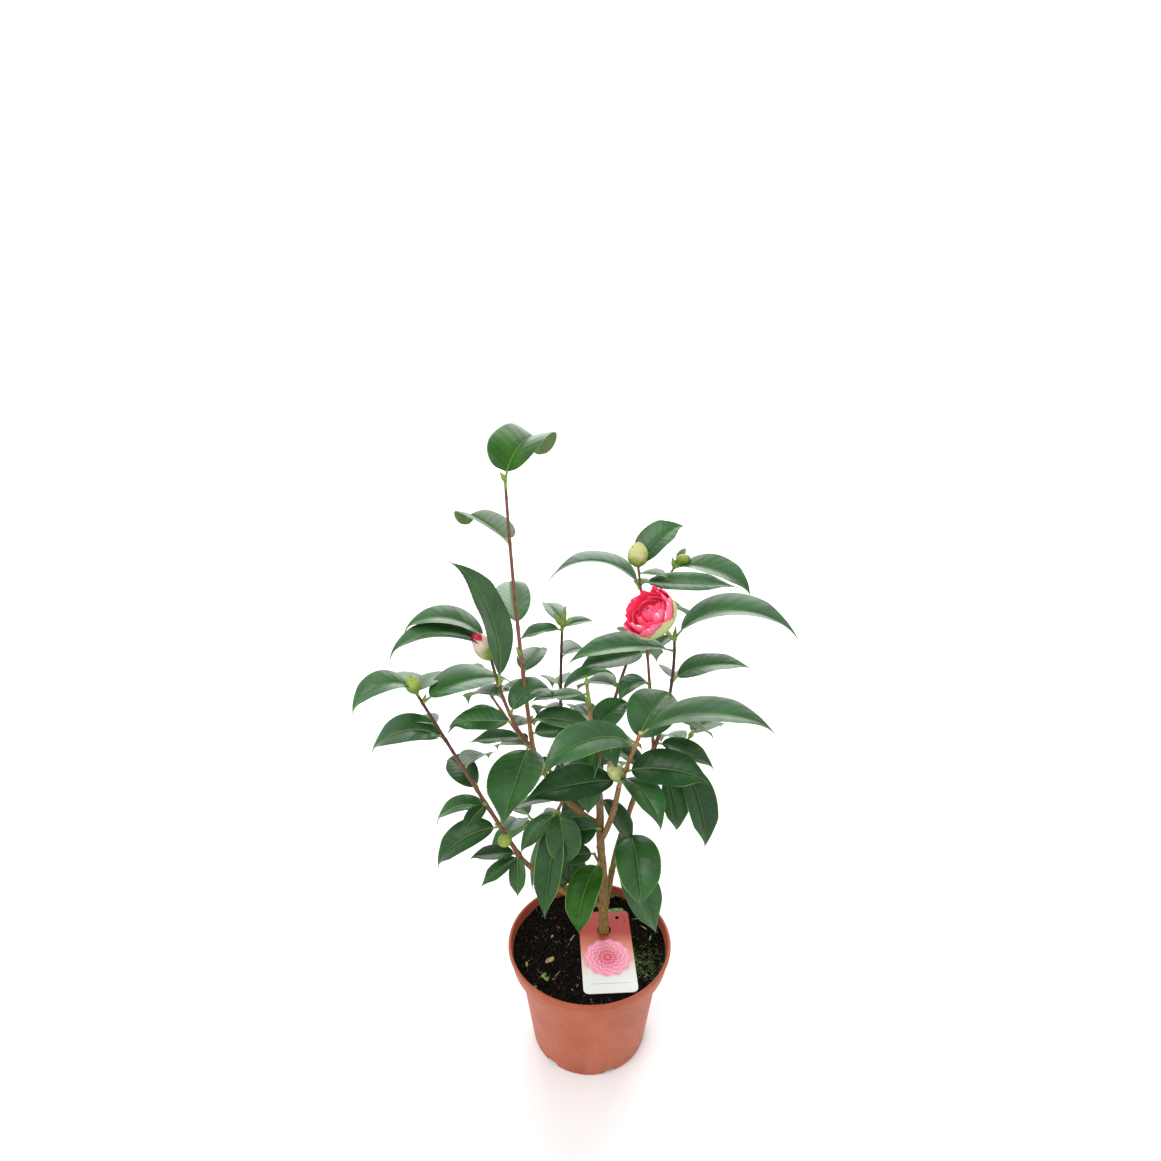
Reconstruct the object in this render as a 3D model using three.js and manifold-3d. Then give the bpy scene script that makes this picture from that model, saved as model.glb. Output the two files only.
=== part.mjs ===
// A young camellia in its nursery pot: one trunk, five boughs, and leafy shoots with buds and a flower.
// Millimetres, +Z up, +X to the right, +Y to the back, origin at the centre of the pot's underside.
// Headings are in degrees seen from above, 0 along +X and 90 along +Y; rises are degrees above level.
import * as THREE from "three";
import { mergeVertices } from "three/addons/utils/BufferGeometryUtils.js";
import Module from "manifold-3d";

const wasm = await Module();
wasm.setup();

// ---- Driving sizes -------------------------------------------------------------------------------

const GAP = 0.3; // clearance between neighbouring solids

const POT_HEIGHT = 110;
const RIM_RADIUS = 75; // a 15 cm pot
const BASE_RADIUS = 53;
const COLLAR_HEIGHT = 18; // the straight band below the rim
const COLLAR_FOOT_RADIUS = 71.6;
const BODY_TOP_RADIUS = 65.3;
const WALL = 2;
const FLOOR = 3;
const NOTCHES = 6; // drainage notches round the bottom edge
const NOTCH = { width: 12, height: 5, depth: 6, heading: 230 };

const SOIL_LEVEL = POT_HEIGHT - 8;

const FOOT = [14, 18, SOIL_LEVEL + GAP]; // the trunk comes up a little behind the pot's axis

const TAG = { width: 48, length: 96, thickness: 0.8, corner: 5, x: 16, y: -6.3, turn: 3 };
const TAG_TRUNK_HOLE = 6.5;
const TAG_HANG_HOLE = { radius: 2, side: 11, inset: 8.7 };

const LEAF_STEPS = 12; // a leaf bends along this many equal steps, the first of them its stalk
const LEAF_STATIONS = [0, 1, 3, 6, 9, 12];
const LEAF_WIDTH = 0.46; // share of its length
const LEAF_THICKNESS = 0.022; // at the midrib, as a share of its length
const LEAF_FOLD = 0.22; // how far the edges rise above the midrib, as a share of the half width
const LEAF_BEND = 0.8; // how early a leaf takes up its droop
const STALK_RADIUS = 1.2;
const BUD_SINK = 1.5;

const LIMB_RINGS = 8;
const SHOOT_RINGS = 7;

// ---- The plant -----------------------------------------------------------------------------------

// Each limb runs from one point to another, its middle set off by bow, and tapers between two radii.
const TRUNK = {
  name: "trunk",
  from: FOOT,
  to: [6, 15, 285],
  bow: [1, -2, 0],
  radii: [4.4, 3.1],
  flare: 1,
  sides: 8,
};
const BOUGHS = [
  { name: "right_bough", from: [13, 17, 120], to: [58, 45, 289], bow: [-5, 8, -4], radii: [3.2, 2.4] },
  { name: "back_bough", from: [13, 17, 128], to: [-22, 38, 200], bow: [0, 3, 2], radii: [2.8, 2.3] },
  { name: "outer_bough", from: [12, 16, 136], to: [-61, 0, 203], bow: [0, -2, -8], radii: [3, 2.5] },
  { name: "left_bough", from: [10, 15, 226], to: [-48, 0, 317], bow: [-8, 0, -4], radii: [3, 2.4] },
  { name: "front_bough", from: [11, 14, 215], to: [24, -8, 285], bow: [1, -4, -2], radii: [2.7, 2.3] },
].map((bough) => ({ sides: 6, ...bough }));

// Each shoot's stem grows on from the bough that carries it. Its leaves are rows of
// [share of the way up the stem, heading, rise, droop, length, roll, breadth]: a leaf sets out at that
// heading and rise, bends down by its droop, and rolls about its midrib with its left edge going up.
// Breadth is a factor on the usual width. Its buds are rows of [share, heading, rise, length, thickness].
const SHOOTS = [
  {
    name: "leader_shoot",
    stem: { from: [-48, 0, 317], to: [-64, 5, 546], bow: [-2, 0, 0], radii: [2.2, 1.3] },
    leaves: [
      [1, 65, 69, 95, 75, 5, 1.58],
      [0.785, 130, 20, 20, 67, 13, 1.26],
      [0.48, 100, 25, 25, 74],
      [0.3, 72, 28, 40, 46, 0, 1.2],
      [0.12, 5, 8, 40, 60, 15],
      [0.06, 15, 12, 30, 42, 25, 1.2],
      [0.22, 120, 0, 40, 62],
    ],
    buds: [[1, 200, 60, 9, 3.5]],
  },
  {
    name: "left_shoot",
    stem: { from: [-48, 0, 317], to: [-82, -4, 419], bow: [-1, -15, -4], radii: [2, 1.3] },
    leaves: [
      [0.08, 260, -5, 5, 88, 0, 1.27],
      [0.7, 197, 103, 50, 118, -42, 0.74],
      [0.98, 175, 70, 118, 84, 0, 0.88],
      [0.93, 190, 62, 112, 95, 0, 0.92],
      [0.45, 45, 70, 130, 60],
      [0.38, 185, 12, 20, 54, -15],
      [0.18, 178, 8, 25, 46, -10],
      [0.6, 130, 0, 45, 64],
    ],
    buds: [[0.9, 186, 60, 26, 15]],
  },
  {
    name: "outer_shoot",
    stem: { from: [-61, 0, 203], to: [-137, -25, 386], bow: [-1, -3, 4], radii: [2.4, 1.3] },
    leaves: [
      [0.03, 185, 10, 20, 44],
      [0.02, 215, -15, 10, 42],
      [0.03, 270, -40, 40, 38],
      [0.2, 190, 8, 70, 72, -15],
      [0.3, 178, 42, 105, 58],
      [0.34, 240, 10, 40, 34],
      [0.42, 128, 35, 50, 54, -20],
      [0.72, 185, 52, 110, 73, -10, 1.1],
      [0.93, 38, 28, 62, 90, 15],
      [0.98, 96, 5, 30, 56, 0, 1.4],
      [1, 200, 60, 130, 62, -10],
      [0.15, 80, -5, 35, 60],
      [0.55, 75, 0, 40, 62],
      [0.8, 130, -5, 30, 60],
    ],
    buds: [
      [1, 200, 80, 15, 11],
      [0.13, 240, 10, 14, 11],
    ],
  },
  {
    name: "back_shoot",
    stem: { from: [-22, 38, 200], to: [-24, 60, 402], bow: [-3, 6, 0], radii: [2.1, 1.3] },
    leaves: [
      [0.03, 145, 5, 45, 50],
      [0.05, 195, -55, 15, 80],
      [0.04, 285, -45, 40, 62],
      [0.68, 10, 55, 70, 56],
      [1, 110, 22, 35, 50],
      [0.98, 185, 10, 40, 40],
      [0.16, 150, -10, 35, 66],
      [0.3, 95, 0, 50, 70],
      [0.45, 40, -5, 40, 66],
      [0.58, 118, -5, 40, 62],
      [0.7, 100, 5, 55, 66],
      [0.85, 60, 5, 50, 60],
      [0.06, 250, -75, 5, 76],
      [0.99, 35, 12, 30, 36],
    ],
    buds: [[1, 250, 75, 10, 5]],
  },
  {
    name: "centre_shoot",
    stem: { from: [6, 15, 285], to: [-3, 20, 366], bow: [0, 0, 0], radii: [2.2, 1.6] },
    leaves: [
      [0.14, 250, -45, 35, 50],
      [0.9, 178, -5, 5, 50],
      [0.8, 140, -5, 20, 40],
      [0.4, 40, 60, 60, 48, 30, 1.2],
      [0.6, 110, 10, 50, 58],
    ],
    buds: [[1, 100, 80, 9, 4]],
  },
  {
    name: "long_shoot",
    stem: { from: [6, 15, 285], to: [79, 110, 441], bow: [-7, 9, 4], radii: [2, 1.2] },
    leaves: [
      [0.97, 340, 24, 64, 78, 15, 1.1],
      [1, 60, 40, 20, 20],
      [0.35, 130, 0, 45, 66],
      [0.5, 60, -5, 40, 70],
      [0.62, 100, -5, 45, 62],
      [0.75, 40, -5, 40, 64],
      [0.86, 110, 10, 60, 62],
    ],
    buds: [[1, 5, 25, 14, 10]],
  },
  {
    name: "front_shoot",
    stem: { from: [24, -8, 285], to: [39, -30, 351], bow: [0, 0, 0], radii: [2.2, 2] },
    leaves: [
      [0.12, 195, 12, 25, 84, -15],
      [0.75, 205, 56, 104, 95, -15, 0.85],
      [0.8, 62, 40, 50, 72, 15, 1.4],
      [0.95, 348, 52, 76, 116],
      [0.28, 345, 30, 50, 74, 25, 1.15],
      [0.14, 300, 40, 90, 68],
    ],
    buds: [[0.16, 200, 50, 22, 13]],
  },
  {
    name: "flower_shoot",
    stem: { from: [58, 45, 289], to: [70, 35, 403], bow: [5, 0, 0], radii: [2.1, 1.4] },
    leaves: [
      [0.3, 25, -30, 5, 66],
      [0.88, 188, 22, 42, 94],
      [0.62, 0, 45, 62, 72, 10],
      [0.98, 350, 68, 114, 121, 10, 0.92],
      [0.2, 90, -5, 35, 68],
      [0.62, 80, 0, 45, 66],
      [0.04, 350, -2, 35, 60],
    ],
    buds: [],
    flower: { share: 0.97, centre: [47.5, 13, 434], heading: 206, rise: 50, radius: 20.5 },
  },
  {
    name: "bud_shoot",
    stem: { from: [57, 46, 287], to: [39, 52, 462], bow: [2, 8, 0], radii: [1.7, 1.1] },
    leaves: [
      [0.9, 346, 6, 5, 82, 27, 0.68],
      [0.95, 310, 15, 5, 34],
      [0.98, 20, 75, 65, 56, 20, 1.15],
      [0.86, 175, 71, 120, 95],
      [0.52, 206, 3, 5, 68, -22, 0.98],
      [0.5, 50, 20, 20, 42],
      [0.33, 213, 69, 138, 42, 4, 1.3],
    ],
    buds: [[1, 270, 85, 21, 17]],
  },
  {
    name: "low_front_spray",
    stem: { from: [12, 15, 181], to: [4, 6, 203], bow: [0, 0, -2], radii: [1.8, 1.3] },
    leaves: [
      [0.4, 245, 25, 125, 76],
      [1, 190, 10, 30, 34, -20, 1.3],
    ],
    buds: [],
  },
  {
    name: "mid_front_spray",
    stem: { from: [10, 14, 221], to: [9, 5, 231], bow: [0, 0, 0], radii: [1.8, 1.4] },
    leaves: [[1, 185, 10, 45, 38, -45, 1.6]],
    buds: [],
  },
  {
    name: "low_right_spray",
    stem: { from: [24, 29, 174], to: [36, 21, 214], bow: [0, 0, -3], radii: [1.9, 1.3] },
    leaves: [
      [1, 278, 25, 105, 74, 0, 1.4],
      [0.3, 318, -42, 20, 78, 0, 1.25],
      [0.6, 70, -15, 35, 56],
    ],
    buds: [],
  },
  {
    name: "mid_right_spray",
    stem: { from: [50, 47, 258], to: [80, 26, 290], bow: [2, 0, -5], radii: [1.9, 1.3] },
    leaves: [
      [1, 300, -28, 55, 83, 0, 0.88],
      [0.55, 288, -35, 40, 56],
      [0.8, 70, -10, 40, 60],
    ],
    buds: [],
  },
  {
    name: "hanging_spray",
    stem: { from: [-22, 10, 262], to: [-29, 3, 249], bow: [0, 0, 0], radii: [1.8, 1.4] },
    leaves: [
      [0.8, 285, -22, 78, 52, 0, 1.35],
      [1, 205, -28, 20, 47],
      [0.9, 254, -59, 5, 94, 0, 0.74],
    ],
    buds: [],
  },
  {
    name: "back_left_spray",
    stem: { from: [-32, 5, 288], to: [-96, 82, 330], bow: [0, 5, -8], radii: [2, 1.2] },
    leaves: [
      [1, 130, 20, 60, 66],
      [0.9, 60, 0, 50, 64],
      [0.75, 175, 0, 50, 62],
      [0.55, 75, 0, 50, 66],
      [0.35, 130, -10, 30, 60],
    ],
    buds: [[1, 130, 50, 10, 5]],
  },
  {
    name: "back_right_spray",
    stem: { from: [44, 44, 235], to: [98, 104, 262], bow: [0, 4, -6], radii: [2, 1.2] },
    leaves: [
      [1, 50, 20, 60, 68],
      [0.9, 110, 0, 50, 64],
      [0.75, 70, -20, 40, 58],
      [0.55, 120, -10, 45, 60],
      [0.4, 45, -30, 25, 50],
    ],
    buds: [[1, 40, 50, 10, 5]],
  },
  {
    name: "back_low_spray",
    stem: { from: [-12, 31, 184], to: [-58, 88, 178], bow: [0, 2, 2], radii: [1.9, 1.2] },
    leaves: [
      [1, 120, 10, 60, 66],
      [0.85, 190, -5, 50, 60],
      [0.7, 60, 0, 50, 62],
      [0.45, 130, -10, 40, 58],
    ],
    buds: [],
  },
  {
    name: "back_mid_spray",
    stem: { from: [9, 16, 246], to: [8, 104, 268], bow: [0, 0, -4], radii: [1.9, 1.2] },
    leaves: [
      [1, 95, 15, 60, 68],
      [0.9, 30, 0, 50, 62],
      [0.75, 125, -10, 45, 58],
      [0.55, 60, -5, 45, 60],
      [0.4, 110, -20, 35, 50],
    ],
    buds: [],
  },
].map((shoot) => ({ ...shoot, stem: { sides: 5, ...shoot.stem } }));

// ---- Materials -----------------------------------------------------------------------------------

const paint = (color, roughness) => new THREE.MeshStandardMaterial({ color, roughness, metalness: 0 });

const TERRACOTTA_PLASTIC = paint(0xb4543a, 0.55);
const PEAT = paint(0x1c1512, 0.95);
const TAG_CARD = paint(0xe9d9cf, 0.4);
const BARK = paint(0x6b5336, 0.8);
const FOLIAGE = paint(0x2c4a24, 0.4);

// ---- Solids --------------------------------------------------------------------------------------

const vector = (values) => new THREE.Vector3(...values);
const radians = THREE.MathUtils.degToRad;

// The unit vector at a heading and a rise.
function direction(heading, rise) {
  const level = Math.cos(radians(rise));
  return new THREE.Vector3(
    level * Math.cos(radians(heading)),
    level * Math.sin(radians(heading)),
    Math.sin(radians(rise)),
  );
}

// A repeatable number from -1 to 1 for each seed.
function vary(seed) {
  const wave = Math.sin(seed * 12.9898) * 43758.5453;
  return 2 * (wave - Math.floor(wave)) - 1;
}

function solidFrom(geometry) {
  const bare = geometry.clone();
  bare.deleteAttribute("normal");
  bare.deleteAttribute("uv");
  const merged = mergeVertices(bare, 1e-4);
  const index = merged.index.array;
  const corners = [];
  for (let i = 0; i < index.length; i += 3) {
    const [a, b, c] = index.subarray(i, i + 3);
    if (a !== b && b !== c && c !== a) corners.push(a, b, c);
  }
  return new wasm.Manifold(
    new wasm.Mesh({
      numProp: 3,
      vertProperties: merged.attributes.position.array,
      triVerts: new Uint32Array(corners),
    }),
  );
}

function meshFrom(solid, name, material) {
  const { vertProperties, triVerts } = solid.getMesh();
  const geometry = new THREE.BufferGeometry();
  geometry.setAttribute("position", new THREE.BufferAttribute(vertProperties, 3));
  geometry.setIndex(new THREE.BufferAttribute(triVerts, 1));
  geometry.computeVertexNormals();
  const mesh = new THREE.Mesh(geometry, material);
  mesh.name = name;
  return mesh;
}

const join = (solids) => solids.reduce((sum, solid) => sum.add(solid));
const cutClear = (solid, neighbours) => neighbours.reduce((left, cutter) => left.subtract(cutter), solid);

function largestBody(solid) {
  const bodies = solid.decompose();
  return bodies.reduce((best, body) => (body.volume() > best.volume() ? body : best));
}

// A closed skin over rings of equally many points, with a flat cap on each end.
function skin(rings) {
  const around = rings[0].length;
  const corners = [];
  for (let ring = 0; ring < rings.length - 1; ring++) {
    for (let i = 0; i < around; i++) {
      const a = ring * around + i;
      const b = ring * around + ((i + 1) % around);
      corners.push(a, b, b + around, a, b + around, a + around);
    }
  }
  const last = (rings.length - 1) * around;
  for (let i = 1; i < around - 1; i++) corners.push(0, i + 1, i, last, last + i, last + i + 1);
  const geometry = new THREE.BufferGeometry().setFromPoints(rings.flat());
  geometry.setIndex(corners);
  return solidFrom(geometry);
}

// ---- Limbs ---------------------------------------------------------------------------------------

function limbCurve({ from, to, bow }) {
  const start = vector(from);
  const end = vector(to);
  const handle = start.clone().lerp(end, 0.5).addScaledVector(vector(bow), 2);
  return new THREE.QuadraticBezierCurve3(start, handle, end);
}

// A tapering limb. With a clearance it comes out that much thicker and longer, to cut neighbours by.
function limbSolid(limb, rings, clearance = 0) {
  const curve = limbCurve(limb);
  const frames = curve.computeFrenetFrames(rings);
  const [rootRadius, tipRadius] = limb.radii;
  const skinRings = [];
  for (let k = 0; k <= rings; k++) {
    const share = k / rings;
    const flare = (limb.flare ?? 0) * (1 - share) ** 12;
    const radius = THREE.MathUtils.lerp(rootRadius, tipRadius, share) + flare + clearance;
    const centre = curve.getPointAt(share);
    if (k === 0) centre.addScaledVector(frames.tangents[k], -clearance);
    if (k === rings) centre.addScaledVector(frames.tangents[k], clearance);
    const ring = [];
    for (let i = 0; i < limb.sides; i++) {
      const angle = (2 * Math.PI * i) / limb.sides;
      const point = centre.clone();
      point.addScaledVector(frames.normals[k], radius * Math.cos(angle));
      point.addScaledVector(frames.binormals[k], radius * Math.sin(angle));
      if (limb.flare && k === 0) point.z = centre.z; // the flat cut at the soil
      ring.push(point);
    }
    skinRings.push(ring);
  }
  return skin(skinRings);
}

// ---- Leaves, buds and the flower -----------------------------------------------------------------

// Half the blade's width at a share of its length, as a share of its greatest half width.
const bladeShape = (share) => Math.sin(Math.PI * share ** 0.8) ** 0.7;

function leafSolid(root, [, heading, rise, droop, length, roll = 0, breadth = 1], seed) {
  const halfWidth = (LEAF_WIDTH / 2) * length * breadth * (1 + 0.08 * vary(seed));
  const turn = radians(roll + 8 * vary(seed + 0.5));
  const side = direction(heading + 90, 0);
  const rings = [];
  const point = root.clone();
  for (let step = 0; step <= LEAF_STEPS; step++) {
    const pitch = rise - droop * (Math.max(step - 0.5, 0) / LEAF_STEPS) ** LEAF_BEND;
    const along = direction(heading, pitch);
    if (step > 0) point.addScaledVector(along, length / LEAF_STEPS);
    if (!LEAF_STATIONS.includes(step)) continue;
    const up = along.clone().cross(side);
    const across = side.clone().multiplyScalar(Math.cos(turn)).addScaledVector(up, Math.sin(turn));
    const over = along.clone().cross(across);
    const blade = Math.max(step - 1, 0) / (LEAF_STEPS - 1);
    const isEnd = blade === 0 || blade === 1;
    const half = isEnd ? STALK_RADIUS * (1 - 0.6 * blade) : halfWidth * bladeShape(blade);
    const rib = isEnd ? half : (LEAF_THICKNESS / 2) * length;
    const edge = isEnd ? 0 : LEAF_FOLD * half;
    rings.push([
      point.clone().addScaledVector(across, half).addScaledVector(over, edge),
      point.clone().addScaledVector(over, rib),
      point.clone().addScaledVector(across, -half).addScaledVector(over, edge),
      point.clone().addScaledVector(over, -rib),
    ]);
  }
  return skin(rings);
}

// Turns a solid of revolution, whose axis is Y, to point along a direction from a root point.
function revolved(profile, sides, root, along) {
  const geometry = new THREE.LatheGeometry(profile, sides);
  const turn = new THREE.Quaternion().setFromUnitVectors(new THREE.Vector3(0, 1, 0), along);
  geometry.applyQuaternion(turn);
  geometry.translate(root.x, root.y, root.z);
  return solidFrom(geometry);
}

// An egg-shaped bud whose pointed end looks along the heading and rise, its foot sunk in the stem.
function budSolid(root, [, heading, rise, length, thickness]) {
  const along = direction(heading, rise);
  const foot = root.clone().addScaledVector(along, -BUD_SINK);
  const outline = [
    [0, 0],
    [0.3, 0.04],
    [0.5, 0.38],
    [0.36, 0.75],
    [0, 1],
  ];
  const profile = outline.map(([out, up]) => new THREE.Vector2(out * thickness, up * length));
  return revolved(profile, 6, foot, along);
}

// An open bloom: a shallow cup of petals on a short stalk from the stem.
function flowerSolid(root, { centre, heading, rise, radius }) {
  const facing = direction(heading, rise);
  const middle = vector(centre);
  const outline = [
    [0, -0.42],
    [0.3, -0.4],
    [0.75, -0.12],
    [1, 0.2],
    [0.7, 0.34],
    [0, 0.3],
  ];
  const profile = outline.map(([out, up]) => new THREE.Vector2(out * radius, up * radius));
  const cup = revolved(profile, 12, middle, facing);
  const neck = middle.clone().addScaledVector(facing, -0.3 * radius);
  const stalk = { from: root.toArray(), to: neck.toArray(), bow: [0, 0, 0], radii: [1.4, 1.8], sides: 5 };
  return cup.add(limbSolid(stalk, 1));
}

// ---- Assembly: the plant -------------------------------------------------------------------------

const plant = new THREE.Group();
const cutters = []; // every limb and stem so far, one gap thicker

[TRUNK, ...BOUGHS].forEach((limb) => {
  const solid = largestBody(cutClear(limbSolid(limb, LIMB_RINGS), cutters));
  plant.add(meshFrom(solid, limb.name, BARK));
  cutters.push(limbSolid(limb, LIMB_RINGS, GAP));
});

SHOOTS.forEach((shoot, shootNumber) => {
  const curve = limbCurve(shoot.stem);
  const at = (row) => curve.getPoint(row[0]);
  const pieces = [limbSolid(shoot.stem, SHOOT_RINGS)];
  shoot.leaves.forEach((leaf, k) => pieces.push(leafSolid(at(leaf), leaf, 40 * shootNumber + k)));
  shoot.buds.forEach((bud) => pieces.push(budSolid(at(bud), bud)));
  if (shoot.flower) pieces.push(flowerSolid(curve.getPoint(shoot.flower.share), shoot.flower));
  const solid = largestBody(cutClear(join(pieces), cutters));
  plant.add(meshFrom(solid, shoot.name, FOLIAGE));
  cutters.push(limbSolid(shoot.stem, SHOOT_RINGS, GAP));
});

// ---- Assembly: pot, soil and tag -----------------------------------------------------------------

// The pot's outside radius at a height on its tapering body.
const bodyRadius = (height) =>
  BASE_RADIUS + ((BODY_TOP_RADIUS - BASE_RADIUS) * height) / (POT_HEIGHT - COLLAR_HEIGHT);

function makePot() {
  const collarFoot = POT_HEIGHT - COLLAR_HEIGHT;
  const outline = [
    [0, 0],
    [BASE_RADIUS, 0],
    [BODY_TOP_RADIUS, collarFoot],
    [COLLAR_FOOT_RADIUS, collarFoot],
    [RIM_RADIUS, POT_HEIGHT],
    [RIM_RADIUS - WALL - 1, POT_HEIGHT],
    [COLLAR_FOOT_RADIUS - WALL, collarFoot + WALL],
    [bodyRadius(collarFoot) - WALL, collarFoot],
    [bodyRadius(FLOOR) - WALL, FLOOR],
    [0, FLOOR],
  ];
  const profile = outline.map(([radius, height]) => new THREE.Vector2(radius, height));
  const upright = new THREE.LatheGeometry(profile, 48).rotateX(Math.PI / 2);
  const notches = [];
  for (let k = 0; k < NOTCHES; k++) {
    const notch = new THREE.BoxGeometry(2 * NOTCH.depth, NOTCH.width, 2 * NOTCH.height);
    notch.translate(BASE_RADIUS, 0, 0).rotateZ(radians(NOTCH.heading + (360 * k) / NOTCHES));
    notches.push(solidFrom(notch));
  }
  return meshFrom(cutClear(solidFrom(upright), notches), "pot", TERRACOTTA_PLASTIC);
}

function makeSoil() {
  const inside = (height) => bodyRadius(height) - WALL - GAP;
  const bottom = Math.max(FLOOR, NOTCH.height) + GAP;
  const collarFoot = POT_HEIGHT - COLLAR_HEIGHT;
  const outline = [
    [0, bottom],
    [inside(bottom), bottom],
    [inside(collarFoot), collarFoot],
    [COLLAR_FOOT_RADIUS - WALL - 2 * GAP, collarFoot + WALL + GAP],
    [COLLAR_FOOT_RADIUS - WALL - 2 * GAP, SOIL_LEVEL],
    [0, SOIL_LEVEL],
  ];
  const profile = outline.map(([radius, height]) => new THREE.Vector2(radius, height));
  return meshFrom(solidFrom(new THREE.LatheGeometry(profile, 40).rotateX(Math.PI / 2)), "soil", PEAT);
}

// A card with round corners, a hole that the trunk grows through and a small one to hang it by.
function makeTag() {
  const { width, length, corner, thickness } = TAG;
  const outline = new THREE.Shape();
  [
    [1, 1],
    [-1, 1],
    [-1, -1],
    [1, -1],
  ].forEach(([x, y], quarter) => {
    const centreX = x * (width / 2 - corner);
    const centreY = y * (length / 2 - corner);
    const start = (quarter * Math.PI) / 2;
    outline.absarc(centreX, centreY, corner, start, start + Math.PI / 2);
  });
  const foot = new THREE.Vector2(FOOT[0] - TAG.x, FOOT[1] - TAG.y);
  foot.rotateAround(new THREE.Vector2(), -radians(TAG.turn));
  const trunkHole = new THREE.Path().absarc(foot.x, foot.y, TAG_TRUNK_HOLE, 0, 2 * Math.PI);
  const hangX = width / 2 - TAG_HANG_HOLE.side;
  const hangY = length / 2 - TAG_HANG_HOLE.inset;
  const hangHole = new THREE.Path().absarc(hangX, hangY, TAG_HANG_HOLE.radius, 0, 2 * Math.PI);
  outline.holes.push(trunkHole, hangHole);
  const card = new THREE.ExtrudeGeometry(outline, { depth: thickness, bevelEnabled: false, curveSegments: 5 });
  const tag = meshFrom(solidFrom(card), "tag", TAG_CARD);
  tag.position.set(TAG.x, TAG.y, SOIL_LEVEL + GAP);
  tag.rotation.z = radians(TAG.turn);
  return tag;
}

const camellia = new THREE.Group();
camellia.add(makePot(), makeSoil(), makeTag(), plant);

export default camellia;
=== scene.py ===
"""A young camellia in its nursery pot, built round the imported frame.

Metres, +Z up, +X to the right, +Y to the back, origin at the centre of the pot's underside.
"""

import math

import bmesh
import bpy
import numpy as np
from mathutils import Matrix, Vector, noise


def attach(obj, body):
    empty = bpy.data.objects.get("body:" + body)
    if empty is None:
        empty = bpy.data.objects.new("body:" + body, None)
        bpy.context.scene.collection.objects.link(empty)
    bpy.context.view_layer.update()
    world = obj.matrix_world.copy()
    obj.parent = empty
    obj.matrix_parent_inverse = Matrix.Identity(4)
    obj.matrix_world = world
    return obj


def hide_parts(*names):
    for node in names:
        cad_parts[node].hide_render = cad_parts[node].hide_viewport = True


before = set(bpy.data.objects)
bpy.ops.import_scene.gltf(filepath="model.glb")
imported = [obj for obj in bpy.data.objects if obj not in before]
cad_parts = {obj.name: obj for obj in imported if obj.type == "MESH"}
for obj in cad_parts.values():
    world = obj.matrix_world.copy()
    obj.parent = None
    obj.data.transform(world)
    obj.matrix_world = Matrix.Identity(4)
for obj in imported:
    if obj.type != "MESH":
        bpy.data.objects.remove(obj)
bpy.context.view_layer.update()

# ---- Studio --------------------------------------------------------------------------------------
# A plain pale floor under a bright even sky, a soft sun from the upper left, a large lamp behind for the
# sheen along the leaves, and the camera at head height, looking down at the pot.

CAMERA_PLACE = (-0.00832, -0.6045, 0.7129)
CAMERA_DIP = 22.06  # degrees below level
CAMERA_LENS, SENSOR_WIDTH, NEAREST = 26.36, 36.0, 0.01
FLOOR_REACH, FLOOR_TONE, FLOOR_ROUGHNESS = 60.0, 0.84, 0.8
SKY_STRENGTH = 1.0
SUN_STRENGTH, SUN_ANGLE, SUN_PLACE = 1.3, math.radians(40), (-1.0, -1.1, 2.0)
LAMP_POWER, LAMP_SIDE, LAMP_PLACE = 44, 2.0, (0.2, 1.7, 1.5)
AIM = Vector((0, 0, 0.3))

camera_lens = bpy.data.cameras.new("camera")
camera_lens.lens = CAMERA_LENS
camera_lens.sensor_width = SENSOR_WIDTH
camera_lens.clip_start = NEAREST
camera = bpy.data.objects.new("camera", camera_lens)
camera.location = CAMERA_PLACE
camera.rotation_euler = (math.radians(90 - CAMERA_DIP), 0, 0)
bpy.context.collection.objects.link(camera)
bpy.context.scene.camera = camera
bpy.context.scene.view_settings.view_transform = "Standard"

sky = bpy.data.worlds.new("sky")
sky.use_nodes = True
sky_shader = sky.node_tree.nodes["Background"]
sky_shader.inputs["Color"].default_value = (1, 1, 1, 1)
sky_shader.inputs["Strength"].default_value = SKY_STRENGTH
bpy.context.scene.world = sky

sun = bpy.data.lights.new("sun", "SUN")
sun.energy = SUN_STRENGTH
sun.angle = SUN_ANGLE
lamp = bpy.data.lights.new("back_lamp", "AREA")
lamp.energy = LAMP_POWER
lamp.size = LAMP_SIDE
for light, light_place in ((sun, SUN_PLACE), (lamp, LAMP_PLACE)):
    light_object = bpy.data.objects.new(light.name, light)
    light_object.location = light_place
    light_object.rotation_euler = (AIM - Vector(light_place)).to_track_quat("-Z", "Y").to_euler()
    bpy.context.collection.objects.link(light_object)

floor_mesh = bpy.data.meshes.new("floor")
floor_corners = [(x * FLOOR_REACH, y * FLOOR_REACH, 0) for x, y in ((-1, -1), (1, -1), (1, 1), (-1, 1))]
floor_mesh.from_pydata(floor_corners, [], [(0, 1, 2, 3)])
floor = bpy.data.objects.new("floor", floor_mesh)
bpy.context.collection.objects.link(floor)
floor_paint = bpy.data.materials.new("floor_paint")
floor_paint.use_nodes = True
floor_shader = floor_paint.node_tree.nodes["Principled BSDF"]
floor_shader.inputs["Base Color"].default_value = (FLOOR_TONE, FLOOR_TONE, FLOOR_TONE, 1)
floor_shader.inputs["Roughness"].default_value = FLOOR_ROUGHNESS
floor_mesh.materials.append(floor_paint)

# ---- Pot -----------------------------------------------------------------------------------------
# A moulded plastic nursery pot: a tapering body, a deep collar with a fine step and a rolled lip, and
# six drainage notches cut into the bottom edge. The plastic is terracotta with a satin skin.

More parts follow.
